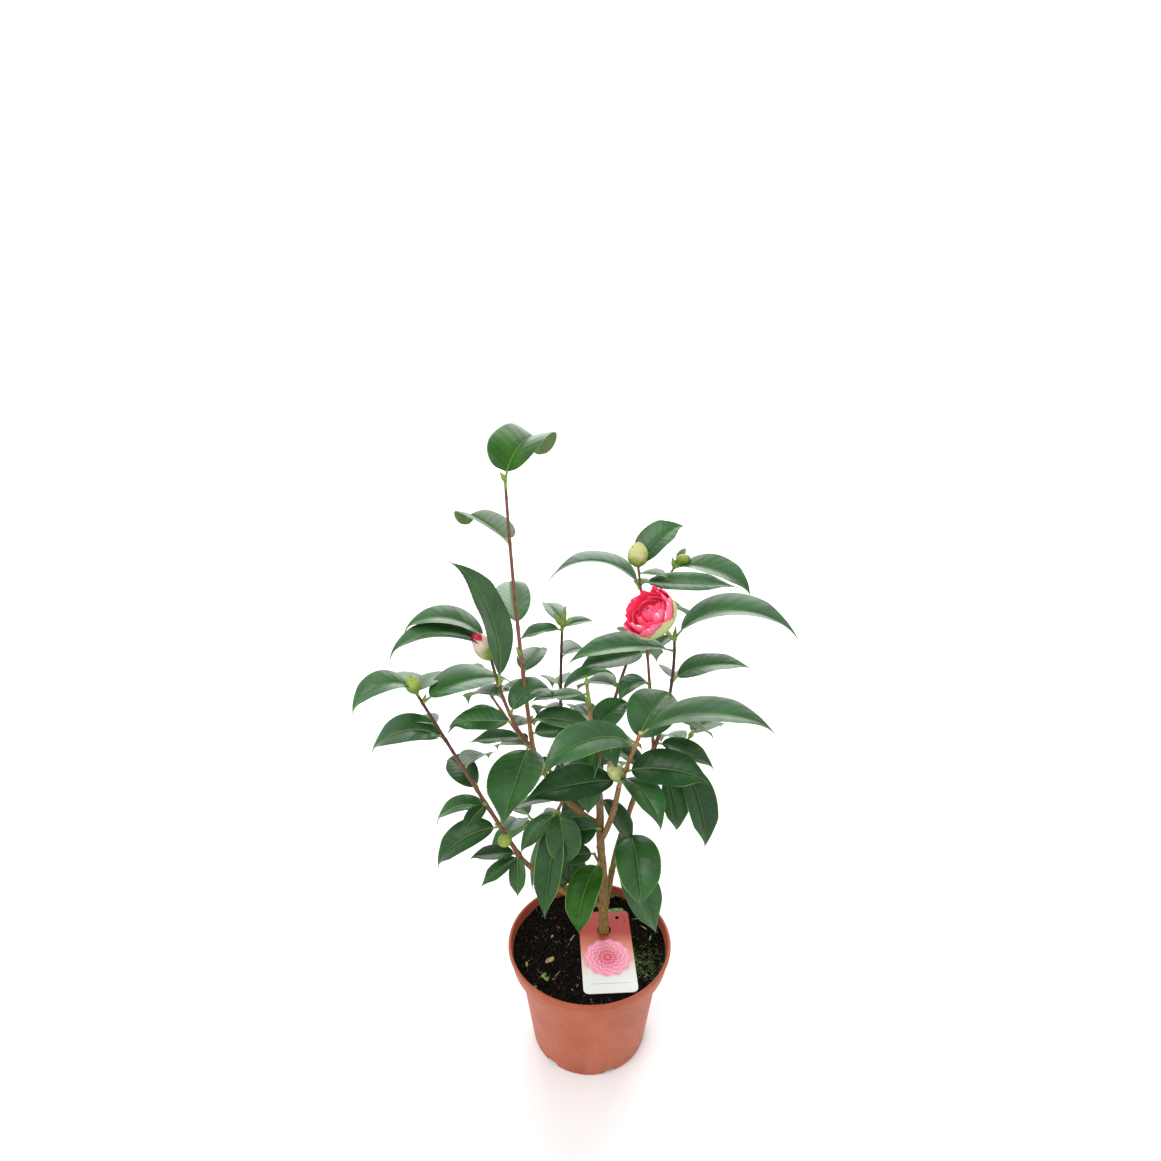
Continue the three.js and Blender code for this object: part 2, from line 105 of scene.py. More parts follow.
POT_HEIGHT = 0.110
RIM_RADIUS = 0.075
BASE_RADIUS = 0.053
COLLAR_HEIGHT = 0.018
COLLAR_FOOT_RADIUS = 0.0716
BODY_TOP_RADIUS = 0.0653
POT_WALL = 0.002
POT_FLOOR = 0.003
POT_SEGMENTS = 144
EDGE_ROUNDING = 0.0012
GROOVE_DROP, GROOVE_OUT = 0.0042, 0.0026  # below the lip, and outside the collar's foot
SMOOTH_ANGLE = 40  # degrees between faces, above which an edge is sharp
NOTCHES = 6
NOTCH_WIDTH, NOTCH_HEIGHT, NOTCH_DEPTH, NOTCH_HEADING = 0.012, 0.005, 0.006, 230


def tint(code):
    """The linear colour of a six-digit code."""
    parts = [int(code[i : i + 2], 16) / 255 for i in (0, 2, 4)]
    return (*(c / 12.92 if c <= 0.04045 else ((c + 0.055) / 1.055) ** 2.4 for c in parts), 1.0)


class Reading:
    """A socket of a finish's node tree that takes part in Python sums."""

    def __init__(self, finish, socket):
        self.finish, self.socket = finish, socket

    def sum(self, operation, first, second):
        return self.finish.node("ShaderNodeMath", {"operation": operation}, {0: first, 1: second})

    def __add__(self, other):
        return self.sum("ADD", self, other)

    def __radd__(self, other):
        return self.sum("ADD", other, self)

    def __sub__(self, other):
        return self.sum("SUBTRACT", self, other)

    def __rsub__(self, other):
        return self.sum("SUBTRACT", other, self)

    def __mul__(self, other):
        return self.sum("MULTIPLY", self, other)

    def __rmul__(self, other):
        return self.sum("MULTIPLY", other, self)

    def __pow__(self, other):
        return self.sum("POWER", self, other)


class Finish:
    """One material. Its pattern is worked out from readings of its own node tree."""

    def __init__(self, name, plain):
        self.material = bpy.data.materials.new(name)
        self.material.use_nodes = True
        self.tree = self.material.node_tree
        self.shader = self.tree.nodes["Principled BSDF"]
        for socket, value in plain.items():
            self.shader.inputs[socket].default_value = value

    def node(self, kind, settings, values, output=0):
        made = self.tree.nodes.new(kind)
        for name, value in settings.items():
            setattr(made, name, value)
        for key, value in values.items():
            if isinstance(value, Reading):
                self.tree.links.new(value.socket, made.inputs[key])
            else:
                made.inputs[key].default_value = value
        return Reading(self, made.outputs[output])

    def drive(self, socket, reading):
        self.tree.links.new(reading.socket, self.shader.inputs[socket])

    def place(self):
        return self.node("ShaderNodeTexCoord", {}, {}, "Object")

    def stretched(self, place, scale):
        return self.node("ShaderNodeMapping", {}, {"Vector": place, "Scale": scale})

    def along(self, place, axis):
        return self.node("ShaderNodeSeparateXYZ", {}, {0: place}, axis)

    def cloud(self, place, scale, detail=2.0, roughness=0.5):
        values = {"Vector": place, "Scale": scale, "Detail": detail, "Roughness": roughness}
        return self.node("ShaderNodeTexNoise", {}, values, 0)

    def cells(self, place, scale):
        return self.node("ShaderNodeTexVoronoi", {}, {"Vector": place, "Scale": scale}, "Distance")

    def step(self, reading, low, high):
        """0 below low, 1 above high, and smooth between them."""
        values = {"Value": reading, "From Min": low, "From Max": high}
        return self.node("ShaderNodeMapRange", {"interpolation_type": "SMOOTHSTEP"}, values)

    def blend(self, share, first, second):
        return self.node("ShaderNodeMix", {"data_type": "RGBA"}, {0: share, 6: first, 7: second}, 2)

    def relief(self, height, depth, strength=1.0):
        values = {"Height": height, "Distance": depth, "Strength": strength}
        self.drive("Normal", self.node("ShaderNodeBump", {}, values))


def rounded(outline, radius, steps=3):
    """The outline with each inner corner turned over a small arc."""
    result = [outline[0]]
    for before, corner, after in zip(outline, outline[1:], outline[2:]):
        corner = np.array(corner)
        back, ahead = np.array(before) - corner, np.array(after) - corner
        reach_back, reach_ahead = np.linalg.norm(back), np.linalg.norm(ahead)
        cut = min(radius, 0.45 * reach_back, 0.45 * reach_ahead)
        start, end = corner + back / reach_back * cut, corner + ahead / reach_ahead * cut
        for k in range(steps + 1):
            t = k / steps
            result.append(tuple((1 - t) ** 2 * start + 2 * t * (1 - t) * corner + t * t * end))
    return result + [outline[-1]]


def turned(outline, segments):
    """Points and faces of an outline of (radius, height) turned round Z, its ends on the axis."""
    angles = 2 * np.pi * np.arange(segments) / segments
    rings = [(r * np.cos(a), r * np.sin(a), z) for r, z in outline[1:-1] for a in angles]
    points = [(0, 0, outline[0][1]), *rings, (0, 0, outline[-1][1])]
    last = len(points) - 1
    faces = []
    for i in range(segments):
        j = (i + 1) % segments
        faces.append((0, 1 + j, 1 + i))
        for ring in range(len(outline) - 3):
            low, high = 1 + ring * segments, 1 + (ring + 1) * segments
            faces.append((low + i, low + j, high + j, high + i))
        top = last - segments
        faces.append((top + i, top + j, last))
    return points, faces


def new_piece(name, points, faces, finishes, kinds=None, sharp=SMOOTH_ANGLE):
    """An object made of points and faces. kinds gives each face's place in the finishes."""
    mesh = bpy.data.meshes.new(name)
    mesh.from_pydata(points, [], faces)
    for finish in finishes:
        mesh.materials.append(finish.material)
    if kinds is not None:
        mesh.polygons.foreach_set("material_index", kinds)
    mesh.polygons.foreach_set("use_smooth", [True] * len(mesh.polygons))
    mesh.set_sharp_from_angle(angle=math.radians(sharp))
    mesh.update()
    piece = bpy.data.objects.new(name, mesh)
    bpy.context.collection.objects.link(piece)
    return piece


def settled(piece):
    """The piece with its modifiers worked into its mesh."""
    shape = piece.evaluated_get(bpy.context.evaluated_depsgraph_get())
    mesh = bpy.data.meshes.new_from_object(shape)
    piece.modifiers.clear()
    piece.data = mesh
    mesh.name = piece.name
    return piece


def finished(piece, slot, *nodes):
    """Sets the piece on the plant's one body, in place of the solids it stands for."""
    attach(piece, "root")
    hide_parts(*nodes)


plastic = Finish("terracotta_plastic", {"Specular IOR Level": 0.3})
place = plastic.place()
pigment = plastic.cloud(place, 22, 4, 0.6)
mottle = plastic.cloud(place, 160, 3)
level = plastic.along(place, "Z")
near_foot = 1 - plastic.step(level, 0.0, 0.02)
near_lip = plastic.step(level, 0.1, 0.109)
dust = plastic.step(plastic.cloud(plastic.stretched(place, (60, 60, 14)), 1.0, 5, 0.7), 0.52, 0.78)
clay = plastic.blend(plastic.step(pigment, 0.3, 0.7), tint("a25236"), tint("b16144"))
clay = plastic.blend(mottle * 0.25, clay, tint("8f452e"))
clay = plastic.blend(dust * 0.16, clay, tint("c68f74"))
clay = plastic.blend(near_foot * plastic.step(mottle, 0.45, 0.7) * 0.5, clay, tint("7c3d29"))
clay = plastic.blend(near_lip * 0.35, clay, tint("963f27"))
plastic.drive("Base Color", clay)
plastic.drive("Roughness", 0.42 + mottle * 0.14 + dust * 0.14)
rings_drawn = plastic.cloud(plastic.stretched(place, (8, 8, 700)), 1.0, 2)
plastic.relief(plastic.cloud(place, 700, 2) * 0.6 + rings_drawn * 0.4, 0.0003, 0.35)

collar_foot = POT_HEIGHT - COLLAR_HEIGHT
groove_height = POT_HEIGHT - GROOVE_DROP
groove_radius = COLLAR_FOOT_RADIUS + GROOVE_OUT
pot_outline = rounded(
    [
        (0, 0),
        (BASE_RADIUS - 0.006, 0),
        (BASE_RADIUS - 0.0005, 0),
        (BASE_RADIUS + 0.0004, 0.002),
        (BODY_TOP_RADIUS - 0.0002, collar_foot - 0.001),
        (COLLAR_FOOT_RADIUS - 0.0006, collar_foot - 0.0005),
        (COLLAR_FOOT_RADIUS, collar_foot + 0.0006),
        (groove_radius, groove_height - 0.0006),
        (groove_radius - 0.0005, groove_height),
        (groove_radius + 0.0006, groove_height + 0.0006),
        (RIM_RADIUS, POT_HEIGHT - 0.0024),
        (RIM_RADIUS - 0.0002, POT_HEIGHT),
        (RIM_RADIUS - 0.0026, POT_HEIGHT),
        (RIM_RADIUS - 0.0031, POT_HEIGHT - 0.003),
        (COLLAR_FOOT_RADIUS - POT_WALL, collar_foot + POT_WALL),
        (BODY_TOP_RADIUS - POT_WALL, collar_foot),
        (BASE_RADIUS - POT_WALL, POT_FLOOR),
        (0, POT_FLOOR),
    ],
    EDGE_ROUNDING,
)
pot = new_piece("moulded_pot", *turned(pot_outline, POT_SEGMENTS), [plastic])
notch_mesh = bmesh.new()
for k in range(NOTCHES):
    turn = Matrix.Rotation(math.radians(NOTCH_HEADING + 360 * k / NOTCHES), 4, "Z")
    size = Matrix.Diagonal((2 * NOTCH_DEPTH, NOTCH_WIDTH, 2 * NOTCH_HEIGHT, 1))
    bmesh.ops.create_cube(notch_mesh, size=1, matrix=turn @ Matrix.Translation((BASE_RADIUS, 0, 0)) @ size)
bmesh.ops.bevel(notch_mesh, geom=notch_mesh.edges[:], offset=EDGE_ROUNDING, segments=2, affect="EDGES")
notch_data = bpy.data.meshes.new("notches")
notch_mesh.to_mesh(notch_data)
notch_mesh.free()
notch_cutter = bpy.data.objects.new("notches", notch_data)
bpy.context.collection.objects.link(notch_cutter)
cut = pot.modifiers.new("notches", "BOOLEAN")
cut.operation, cut.solver, cut.object = "DIFFERENCE", "EXACT", notch_cutter
settled(pot)
bpy.data.objects.remove(notch_cutter)
pot.data.set_sharp_from_angle(angle=math.radians(SMOOTH_ANGLE))
finished(pot, "pot_plastic", "pot")

# ---- Peat ----------------------------------------------------------------------------------------
# Dark moist compost that has sunk a little below the lip, loose on top: crumbs, short fibres, chips of
# bark, a green haze of moss at the right, and a few fallen scraps round the stem.

SOIL_LEVEL = 0.102
SOIL_RINGS, SOIL_SPOKES = 46, 120
SOIL_RADIUS = 0.0708
TAG_PLACE, TAG_TURN = (0.016, -0.0063), math.radians(3)
TAG_WIDTH, TAG_LENGTH = 0.048, 0.096
CARD_MARGIN = 0.005  # bare of crumbs round the card
FILLING_FOOT = 0.006
OPEN_RADIUS, OPEN_DEPTH = 0.069, 0.008  # the ground that crumbs lie on
MOSS_PLACE, MOSS_REACH = (0.053, -0.019), 0.024


def under_tag(x, y):
    """1 under the card, fading to 0 a few millimetres outside its edge."""
    c, s = math.cos(TAG_TURN), math.sin(TAG_TURN)
    dx, dy = x - TAG_PLACE[0], y - TAG_PLACE[1]
    out = max(abs(c * dx + s * dy) - TAG_WIDTH / 2, abs(c * dy - s * dx) - TAG_LENGTH / 2)
    return min(max(1 - out / CARD_MARGIN, 0), 1)


def soil_height(x, y):
    """The loose surface: low hummocks, fine crumbs, and a dip along the pot's wall."""
    hummocks = noise.fractal(Vector((x * 38, y * 38, 1.7)), 1.0, 2.1, 3) * 0.0022
    crumbs = noise.fractal(Vector((x * 260, y * 260, 4.1)), 0.8, 2.0, 3) * 0.0009
    edge = max(math.hypot(x, y) / SOIL_RADIUS - 0.93, 0) * 0.012
    return SOIL_LEVEL + min(hummocks + crumbs, 0.0030) * (1 - under_tag(x, y)) - edge - 0.0006


def soil_ring(radius):
    """The places of the spokes at a radius."""
    angles = [2 * math.pi * spoke / SOIL_SPOKES for spoke in range(SOIL_SPOKES)]
    return [(radius * math.cos(a), radius * math.sin(a)) for a in angles]


soil_points = [(0, 0, soil_height(0, 0))]
for ring in range(1, SOIL_RINGS + 1):
    soil_points += [(x, y, soil_height(x, y)) for x, y in soil_ring(SOIL_RADIUS * ring / SOIL_RINGS)]
soil_faces = []
for spoke in range(SOIL_SPOKES):
    beside = (spoke + 1) % SOIL_SPOKES
    soil_faces.append((0, 1 + spoke, 1 + beside))
    for ring in range(SOIL_RINGS - 1):
        near, far = 1 + ring * SOIL_SPOKES, 1 + (ring + 1) * SOIL_SPOKES
        soil_faces.append((near + spoke, far + spoke, far + beside, near + beside))
# Below the surface the filling is closed by its tapering side and its flat foot.
outer = 1 + (SOIL_RINGS - 1) * SOIL_SPOKES
foot = len(soil_points)
soil_points += [(x, y, FILLING_FOOT) for x, y in soil_ring(BASE_RADIUS - POT_WALL + 0.0005)]
waist = len(soil_points)
soil_points += [(x, y, collar_foot) for x, y in soil_ring(BODY_TOP_RADIUS - POT_WALL - 0.0004)]
for spoke in range(SOIL_SPOKES):
    beside = (spoke + 1) % SOIL_SPOKES
    soil_faces.append((outer + beside, outer + spoke, waist + spoke, waist + beside))
    soil_faces.append((waist + beside, waist + spoke, foot + spoke, foot + beside))
soil_faces.append(tuple(foot + spoke for spoke in reversed(range(SOIL_SPOKES))))

peat = Finish("moist_peat", {"Specular IOR Level": 0.1})
place = peat.place()
clods = peat.cloud(place, 240, 5, 0.7)
fleck = peat.step(peat.cells(place, 420), 0.0, 0.32)
dark = peat.blend(peat.step(clods, 0.35, 0.7), tint("050403"), tint("140e0a"))
peat.drive("Base Color", peat.blend((1 - fleck) * peat.step(clods, 0.5, 0.6) * 0.4, dark, tint("3d2e22")))
peat.drive("Roughness", 0.72 + clods * 0.25)
peat.relief(clods * 0.7 + fleck * 0.3, 0.0012, 0.8)
soil = new_piece("peat_surface", soil_points, soil_faces, [peat], sharp=80)
moss_share, open_share = [], []
for x, y, z in soil_points:
    moss_share.append(max(1 - math.hypot(x - MOSS_PLACE[0], y - MOSS_PLACE[1]) / MOSS_REACH, 0))
    on_top = z > SOIL_LEVEL - OPEN_DEPTH and math.hypot(x, y) < OPEN_RADIUS
    open_share.append(1.0 - under_tag(x, y) if on_top else 0.0)
for label, values in (("moss", moss_share), ("open_ground", open_share)):
    soil.data.attributes.new(label, "FLOAT", "POINT").data.foreach_set("value", values)


def scatter(name, lump, share_name, density, sizes, seed, finish):
    """Strews copies of a lump over the peat where the named share is above 0."""
    tree = bpy.data.node_groups.new(name, "GeometryNodeTree")
    sockets = {}
    for label, kind in (
        ("Ground", "NodeSocketGeometry"),
        ("Lump", "NodeSocketObject"),
        ("Density", "NodeSocketFloat"),
        ("Smallest", "NodeSocketFloat"),
        ("Largest", "NodeSocketFloat"),
        ("Seed", "NodeSocketInt"),
    ):
        sockets[label] = tree.interface.new_socket(label, in_out="INPUT", socket_type=kind).identifier
    tree.interface.new_socket("Litter", in_out="OUTPUT", socket_type="NodeSocketGeometry")

    def node(kind, values, **settings):
        made = tree.nodes.new(kind)
        for key, value in settings.items():
            setattr(made, key, value)
        for key, value in values.items():
            if isinstance(value, bpy.types.NodeSocket):
                tree.links.new(value, made.inputs[key])
            else:
                made.inputs[key].default_value = value
        return made

    given = tree.nodes.new("NodeGroupInput").outputs
    share = node("GeometryNodeInputNamedAttribute", {"Name": share_name}, data_type="FLOAT")
    amount = node("ShaderNodeMath", {0: share.outputs[0], 1: given["Density"]}, operation="MULTIPLY")
    spots = node(
        "GeometryNodeDistributePointsOnFaces",
        {"Mesh": given["Ground"], "Density": amount.outputs[0], "Seed": given["Seed"]},
    )
    full_turn = {"Seed": given["Seed"], 1: (6.28, 6.28, 6.28)}
    turn = node("FunctionNodeRandomValue", full_turn, data_type="FLOAT_VECTOR")
    size = node(
        "FunctionNodeRandomValue",
        {2: given["Smallest"], 3: given["Largest"], "Seed": given["Seed"]},
        data_type="FLOAT",
    )
    shape = node("GeometryNodeObjectInfo", {"Object": given["Lump"]})
    copies = node(
        "GeometryNodeInstanceOnPoints",
        {
            "Points": spots.outputs["Points"],
            "Instance": shape.outputs["Geometry"],
            "Rotation": turn.outputs["Value"],
            "Scale": size.outputs[1],
        },
    )
    solid = node("GeometryNodeRealizeInstances", {"Geometry": copies.outputs[0]})
    painted = node("GeometryNodeSetMaterial", {"Geometry": solid.outputs[0], "Material": finish.material})
    exit_node = tree.nodes.new("NodeGroupOutput")
    tree.links.new(painted.outputs[0], exit_node.inputs[0])

    litter = bpy.data.objects.new(name, soil.data.copy())
    bpy.context.collection.objects.link(litter)
    strewn = litter.modifiers.new(name, "NODES")
    strewn.node_group = tree
    values = {"Lump": lump, "Density": density, "Smallest": sizes[0], "Largest": sizes[1], "Seed": seed}
    for label, value in values.items():
        strewn[sockets[label]] = value
    settled(litter)
    litter.data.materials.clear()
    litter.data.materials.append(finish.material)
    finished(litter, "peat", "soil")


def lump_shape(name, stretch, subdivisions, roughness):
    """A rough lump about 1 unit across, as a pattern to strew."""
    shape = bmesh.new()
    bmesh.ops.create_icosphere(shape, subdivisions=subdivisions, radius=0.5)
    for vertex in shape.verts:
        vertex.co *= 1 + roughness * noise.noise(vertex.co * 3.3 + Vector((2.1, 0.4, 7.0)))
        vertex.co = Vector(a * b for a, b in zip(vertex.co, stretch))
    data = bpy.data.meshes.new(name)
    shape.to_mesh(data)
    shape.free()
    return bpy.data.objects.new(name, data)


def two_tone(name, plain, scale, detail, low, high, dark, light):
    """A finish of two tones that a soft cloud mixes."""
    finish = Finish(name, plain)
    fade = finish.step(finish.cloud(finish.place(), scale, detail), low, high)
    finish.drive("Base Color", finish.blend(fade, tint(dark), tint(light)))
    return finish


crumb_look = {"Roughness": 0.9, "Specular IOR Level": 0.08}
crumb_tone = two_tone("peat_crumbs", crumb_look, 330, 3, 0.42, 0.66, "050403", "1d140e")
fibre_tone = two_tone("peat_fibres", {"Roughness": 0.8}, 150, 2, 0.4, 0.65, "241a12", "7a624a")
chip_tone = two_tone("bark_chips", {"Roughness": 0.75}, 120, 3, 0.4, 0.62, "2a1d12", "8a7153")
moss_tone = two_tone("moss", {"Roughness": 0.8}, 260, 3, 0.35, 0.65, "1c2e0c", "527028")
for name, lump, where, density, sizes, seed, finish in (
    # lump: (name, stretch, subdivisions, roughness). density: pieces on a square metre
    ("peat_crumbs", ("crumb", (1, 0.8, 0.7), 1, 0.5), "open_ground", 420000, (0.0008, 0.0034), 3, crumb_tone),
    ("peat_clods", ("clod", (1, 0.8, 0.55), 2, 0.7), "open_ground", 16000, (0.0030, 0.0068), 21, crumb_tone),
    ("peat_fibres", ("fibre", (1, 0.07, 0.06), 1, 0.2), "open_ground", 26000, (0.003, 0.011), 8, fibre_tone),
    ("bark_chips", ("chip", (1, 0.5, 0.22), 1, 0.4), "open_ground", 7000, (0.0022, 0.0050), 5, chip_tone),
    ("moss_tufts", ("tuft", (0.5, 0.4, 1), 1, 0.6), "moss", 1500000, (0.0010, 0.0032), 11, moss_tone),
):
    scatter(name, lump_shape(*lump), where, density, sizes, seed, finish)
finished(soil, "peat", "soil")

# ---- Tag -----------------------------------------------------------------------------------------
# A flexible plastic card that lies on the peat, pushed over the stem by a round hole, with a small hole
# to hang it by. It is printed red above and pale below, with a plain scalloped rosette and a rule.

TAG_THICKNESS, TAG_CORNER = 0.0006, 0.005
CARD_BEVEL, CARD_LIFT = 0.0001, 0.0009
TRUNK_HOLE, HANG_HOLE, HANG_SIDE, HANG_INSET = 0.0065, 0.002, 0.011, 0.0087
SLIT_SIDE, SLIT_INSET, SLIT_RADII = 0.0095, 0.0115, (0.0062, 0.0058)
SLIT_START, SLIT_SWEEP = math.radians(-60), math.radians(150)
STEM_FOOT = (0.014, 0.018)


def ring_points(centre, radius, count, start=0.0, sweep=2 * math.pi):
    angles = start + sweep * np.arange(count) / (count if sweep > 6 else count - 1)
    return [(centre[0] + radius * math.cos(a), centre[1] + radius * math.sin(a)) for a in angles]


card_curve = bpy.data.curves.new("tag_card", "CURVE")
card_curve.dimensions = "2D"
card_curve.fill_mode = "BOTH"
card_curve.extrude = TAG_THICKNESS / 2 - CARD_BEVEL
card_curve.bevel_depth = CARD_BEVEL
card_curve.bevel_resolution = 1
card_outline = []
for quarter, (x, y) in enumerate(((1, 1), (-1, 1), (-1, -1), (1, -1))):
    centre = (x * (TAG_WIDTH / 2 - TAG_CORNER), y * (TAG_LENGTH / 2 - TAG_CORNER))
    card_outline += ring_points(centre, TAG_CORNER, 10, quarter * math.pi / 2, math.pi / 2)
c, s = math.cos(-TAG_TURN), math.sin(-TAG_TURN)
dx, dy = STEM_FOOT[0] - TAG_PLACE[0], STEM_FOOT[1] - TAG_PLACE[1]
stem_on_card = (c * dx - s * dy, s * dx + c * dy)
hang_place = (TAG_WIDTH / 2 - HANG_SIDE, TAG_LENGTH / 2 - HANG_INSET)
slit_centre = (TAG_WIDTH / 2 - SLIT_SIDE, TAG_LENGTH / 2 - SLIT_INSET)
slit = ring_points(slit_centre, SLIT_RADII[0], 12, SLIT_START, SLIT_SWEEP)
slit += ring_points(slit_centre, SLIT_RADII[1], 12, SLIT_START, SLIT_SWEEP)[::-1]
stem_hole, hang_hole = ring_points(stem_on_card, TRUNK_HOLE, 40), ring_points(hang_place, HANG_HOLE, 24)
for loop in (card_outline, stem_hole, hang_hole, slit):
    spline = card_curve.splines.new("POLY")
    spline.points.add(len(loop) - 1)
    spline.points.foreach_set("co", [v for x, y in loop for v in (x, y, 0, 1)])
    spline.use_cyclic_u = True
card_object = bpy.data.objects.new("tag_curve", card_curve)
bpy.context.collection.objects.link(card_object)
card_shape = card_object.evaluated_get(bpy.context.evaluated_depsgraph_get())
card_mesh = bpy.data.meshes.new_from_object(card_shape)
bpy.data.objects.remove(card_object)
tag = bpy.data.objects.new("plant_tag", card_mesh)
bpy.context.collection.objects.link(tag)
card_mesh.transform(
    Matrix.Translation((*TAG_PLACE, SOIL_LEVEL + CARD_LIFT)) @ Matrix.Rotation(TAG_TURN, 4, "Z")
)

print_finish = Finish("printed_card", {"Specular IOR Level": 0.2})
place = print_finish.node(
    "ShaderNodeMapping",
    {"vector_type": "TEXTURE"},
    {"Vector": print_finish.place(), "Location": (*TAG_PLACE, 0), "Rotation": (0, 0, TAG_TURN)},
)
card_x, card_y = print_finish.along(place, "X"), print_finish.along(place, "Y")
ROSETTE_Y, ROSETTE_RADIUS, SCALLOPS = -0.0085, 0.0208, 12
out_y = card_y - ROSETTE_Y
distance = (card_x * card_x + out_y * out_y) ** 0.5
bearing = print_finish.node("ShaderNodeMath", {"operation": "ARCTAN2"}, {0: out_y, 1: card_x})


def wave(reading):
    return reading.finish.node("ShaderNodeMath", {"operation": "SINE"}, {0: reading})


mist = print_finish.cloud(place, 45, 4, 0.6)
blush = print_finish.step(card_y + mist * 0.02, -0.026, 0.014)
paper = print_finish.blend(blush, tint("dcdfdb"), tint("d38b70"))
paper = print_finish.blend(print_finish.step(card_y + mist * 0.016, 0.0, 0.034), paper, tint("a01a08"))
edge = distance + wave(bearing * SCALLOPS) * 0.0009
inside = 1 - print_finish.step(edge, ROSETTE_RADIUS - 0.0003, ROSETTE_RADIUS + 0.0003)
shadow = (1 - print_finish.step(edge, ROSETTE_RADIUS - 0.001, ROSETTE_RADIUS + 0.003)) * 0.35
petal_rows = wave(distance * 1500 + wave(bearing * SCALLOPS + distance * 260) * 1.6)
rosette = print_finish.blend(print_finish.step(distance, 0.002, 0.017), tint("c83c55"), tint("e98ba6"))
rosette = print_finish.blend(print_finish.step(petal_rows, 0.2, 0.95) * 0.55, rosette, tint("f6c3d0"))
paper = print_finish.blend(shadow, paper, tint("8f6a66"))
paper = print_finish.blend(inside, paper, rosette)
rule_line = print_finish.step(card_y, -0.0382, -0.0380) * (1 - print_finish.step(card_y, -0.0376, -0.0374))
within = 1 - print_finish.step(card_x * card_x, 0.017**2, 0.0173**2)
paper = print_finish.blend(rule_line * within * 0.6, paper, tint("8d8a86"))
print_finish.drive("Base Color", paper)
print_finish.drive("Roughness", 0.3 + mist * 0.12)
card_mesh.materials.clear()
card_mesh.materials.append(print_finish.material)
finished(tag, "tag_card", "tag")

# ---- Limbs ---------------------------------------------------------------------------------------
# The trunk and five boughs. Each limb runs from one point to another, its middle set off by bow, and
# tapers between two radii. The bark is thin and smooth, with old leaf scars, fine ridges and lenticels.

MM = 0.001
LIMBS = {
    # name: (from, to, bow, radii, flare), in millimetres
    "trunk": ((14, 18, 100.5), (6, 15, 285), (1, -2, 0), (4.3, 3.1), 1.0),
    "right_bough": ((13, 17, 120), (58, 45, 289), (-5, 8, -4), (3.1, 2.2), 0.8),
    "back_bough": ((13, 17, 128), (-22, 38, 200), (0, 3, 2), (2.8, 2.3), 0.8),
    "outer_bough": ((12, 16, 136), (-61, 0, 203), (0, -2, -8), (2.8, 2.3), 0.8),
    "left_bough": ((10, 15, 226), (-48, 0, 317), (-8, 0, -4), (2.9, 2.15), 0.8),
    "front_bough": ((11, 14, 215), (24, -8, 285), (1, -4, -2), (2.7, 2.3), 0.8),
}
LIMB_SIDES = 20
LIMB_PITCH = 1.3 * MM  # between rings
SCAR_GAP, SCAR_HALF = 17 * MM, 1.6 * MM  # between old leaf scars, and half of one's height
RIDGE, ROUGHNESS = 0.035, 0.05  # in limb radii
WOBBLE = 0.5  # millimetres


def vary(seed):
    """A repeatable number from -1 to 1 for each seed."""
    spin = math.sin(seed * 12.9898) * 43758.5453
    return 2 * (spin - math.floor(spin)) - 1


def bent(start, end, bow, shares):
    """Points on a limb's curve at shares of its way."""
    start, end, bow = (np.array(v, float) * MM for v in (start, end, bow))
    handle = (start + end) / 2 + 2 * bow
    t = np.asarray(shares, float)[..., None]
    return (1 - t) ** 2 * start + 2 * t * (1 - t) * handle + t * t * end


def unit(vectors):
    return vectors / np.linalg.norm(vectors, axis=-1, keepdims=True)


def tube(centres, radii, sides):
    """Points and faces of a closed tube. radii has one row of sides for each centre, or one number."""
    tangents = unit(np.gradient(centres, axis=0))
    guide = np.eye(3)[np.argmin(np.abs(tangents.mean(axis=0)))]
    normals = unit(guide - (tangents @ guide)[:, None] * tangents)
    binormals = np.cross(tangents, normals)
    angles = 2 * np.pi * np.arange(sides) / sides
    radii = np.broadcast_to(np.asarray(radii, float).reshape(len(centres), -1), (len(centres), sides))
    c, s = np.cos(angles)[None, :, None], np.sin(angles)[None, :, None]
    spokes = normals[:, None] * c + binormals[:, None] * s
    points = (centres[:, None] + spokes * radii[..., None]).reshape(-1, 3)
    faces = []
    for ring in range(len(centres) - 1):
        low, high = ring * sides, (ring + 1) * sides
        for i in range(sides):
            j = (i + 1) % sides
            faces.append((low + i, low + j, high + j, high + i))
    faces.append(tuple(reversed(range(sides))))
    faces.append(tuple(range(len(points) - sides, len(points))))
    return points, faces


class Gathering:
    """Gathers the points and faces of like parts into one mesh."""

    def __init__(self):
        self.points, self.faces, self.kinds, self.maps, self.ages = [], [], [], [], []
        self.count = 0

    def add(self, points, faces, kinds=0, maps=None, ages=0.0):
        """kinds is each face's finish, maps each point's place on its own part, ages 0 to 1 by point."""
        count = len(points)
        self.points.append(points)
        self.faces += [tuple(self.count + i for i in face) for face in faces]
        self.kinds += [kinds] * len(faces) if isinstance(kinds, int) else list(kinds)
        self.maps.append(np.zeros((count, 2)) if maps is None else maps)
        self.ages.append(np.broadcast_to(ages, count))
        self.count += count

    def piece(self, name, finishes, sharp=60):
        points = np.concatenate(self.points).tolist()
        made = new_piece(name, points, self.faces, finishes, self.kinds, sharp)
        corners = np.zeros(len(made.data.loops), int)
        made.data.loops.foreach_get("vertex_index", corners)
        pattern = made.data.uv_layers.new(name="pattern")
        pattern.data.foreach_set("uv", np.concatenate(self.maps)[corners].ravel())
        age = made.data.attributes.new("age", "FLOAT", "POINT")
        age.data.foreach_set("value", np.concatenate(self.ages))
        return made


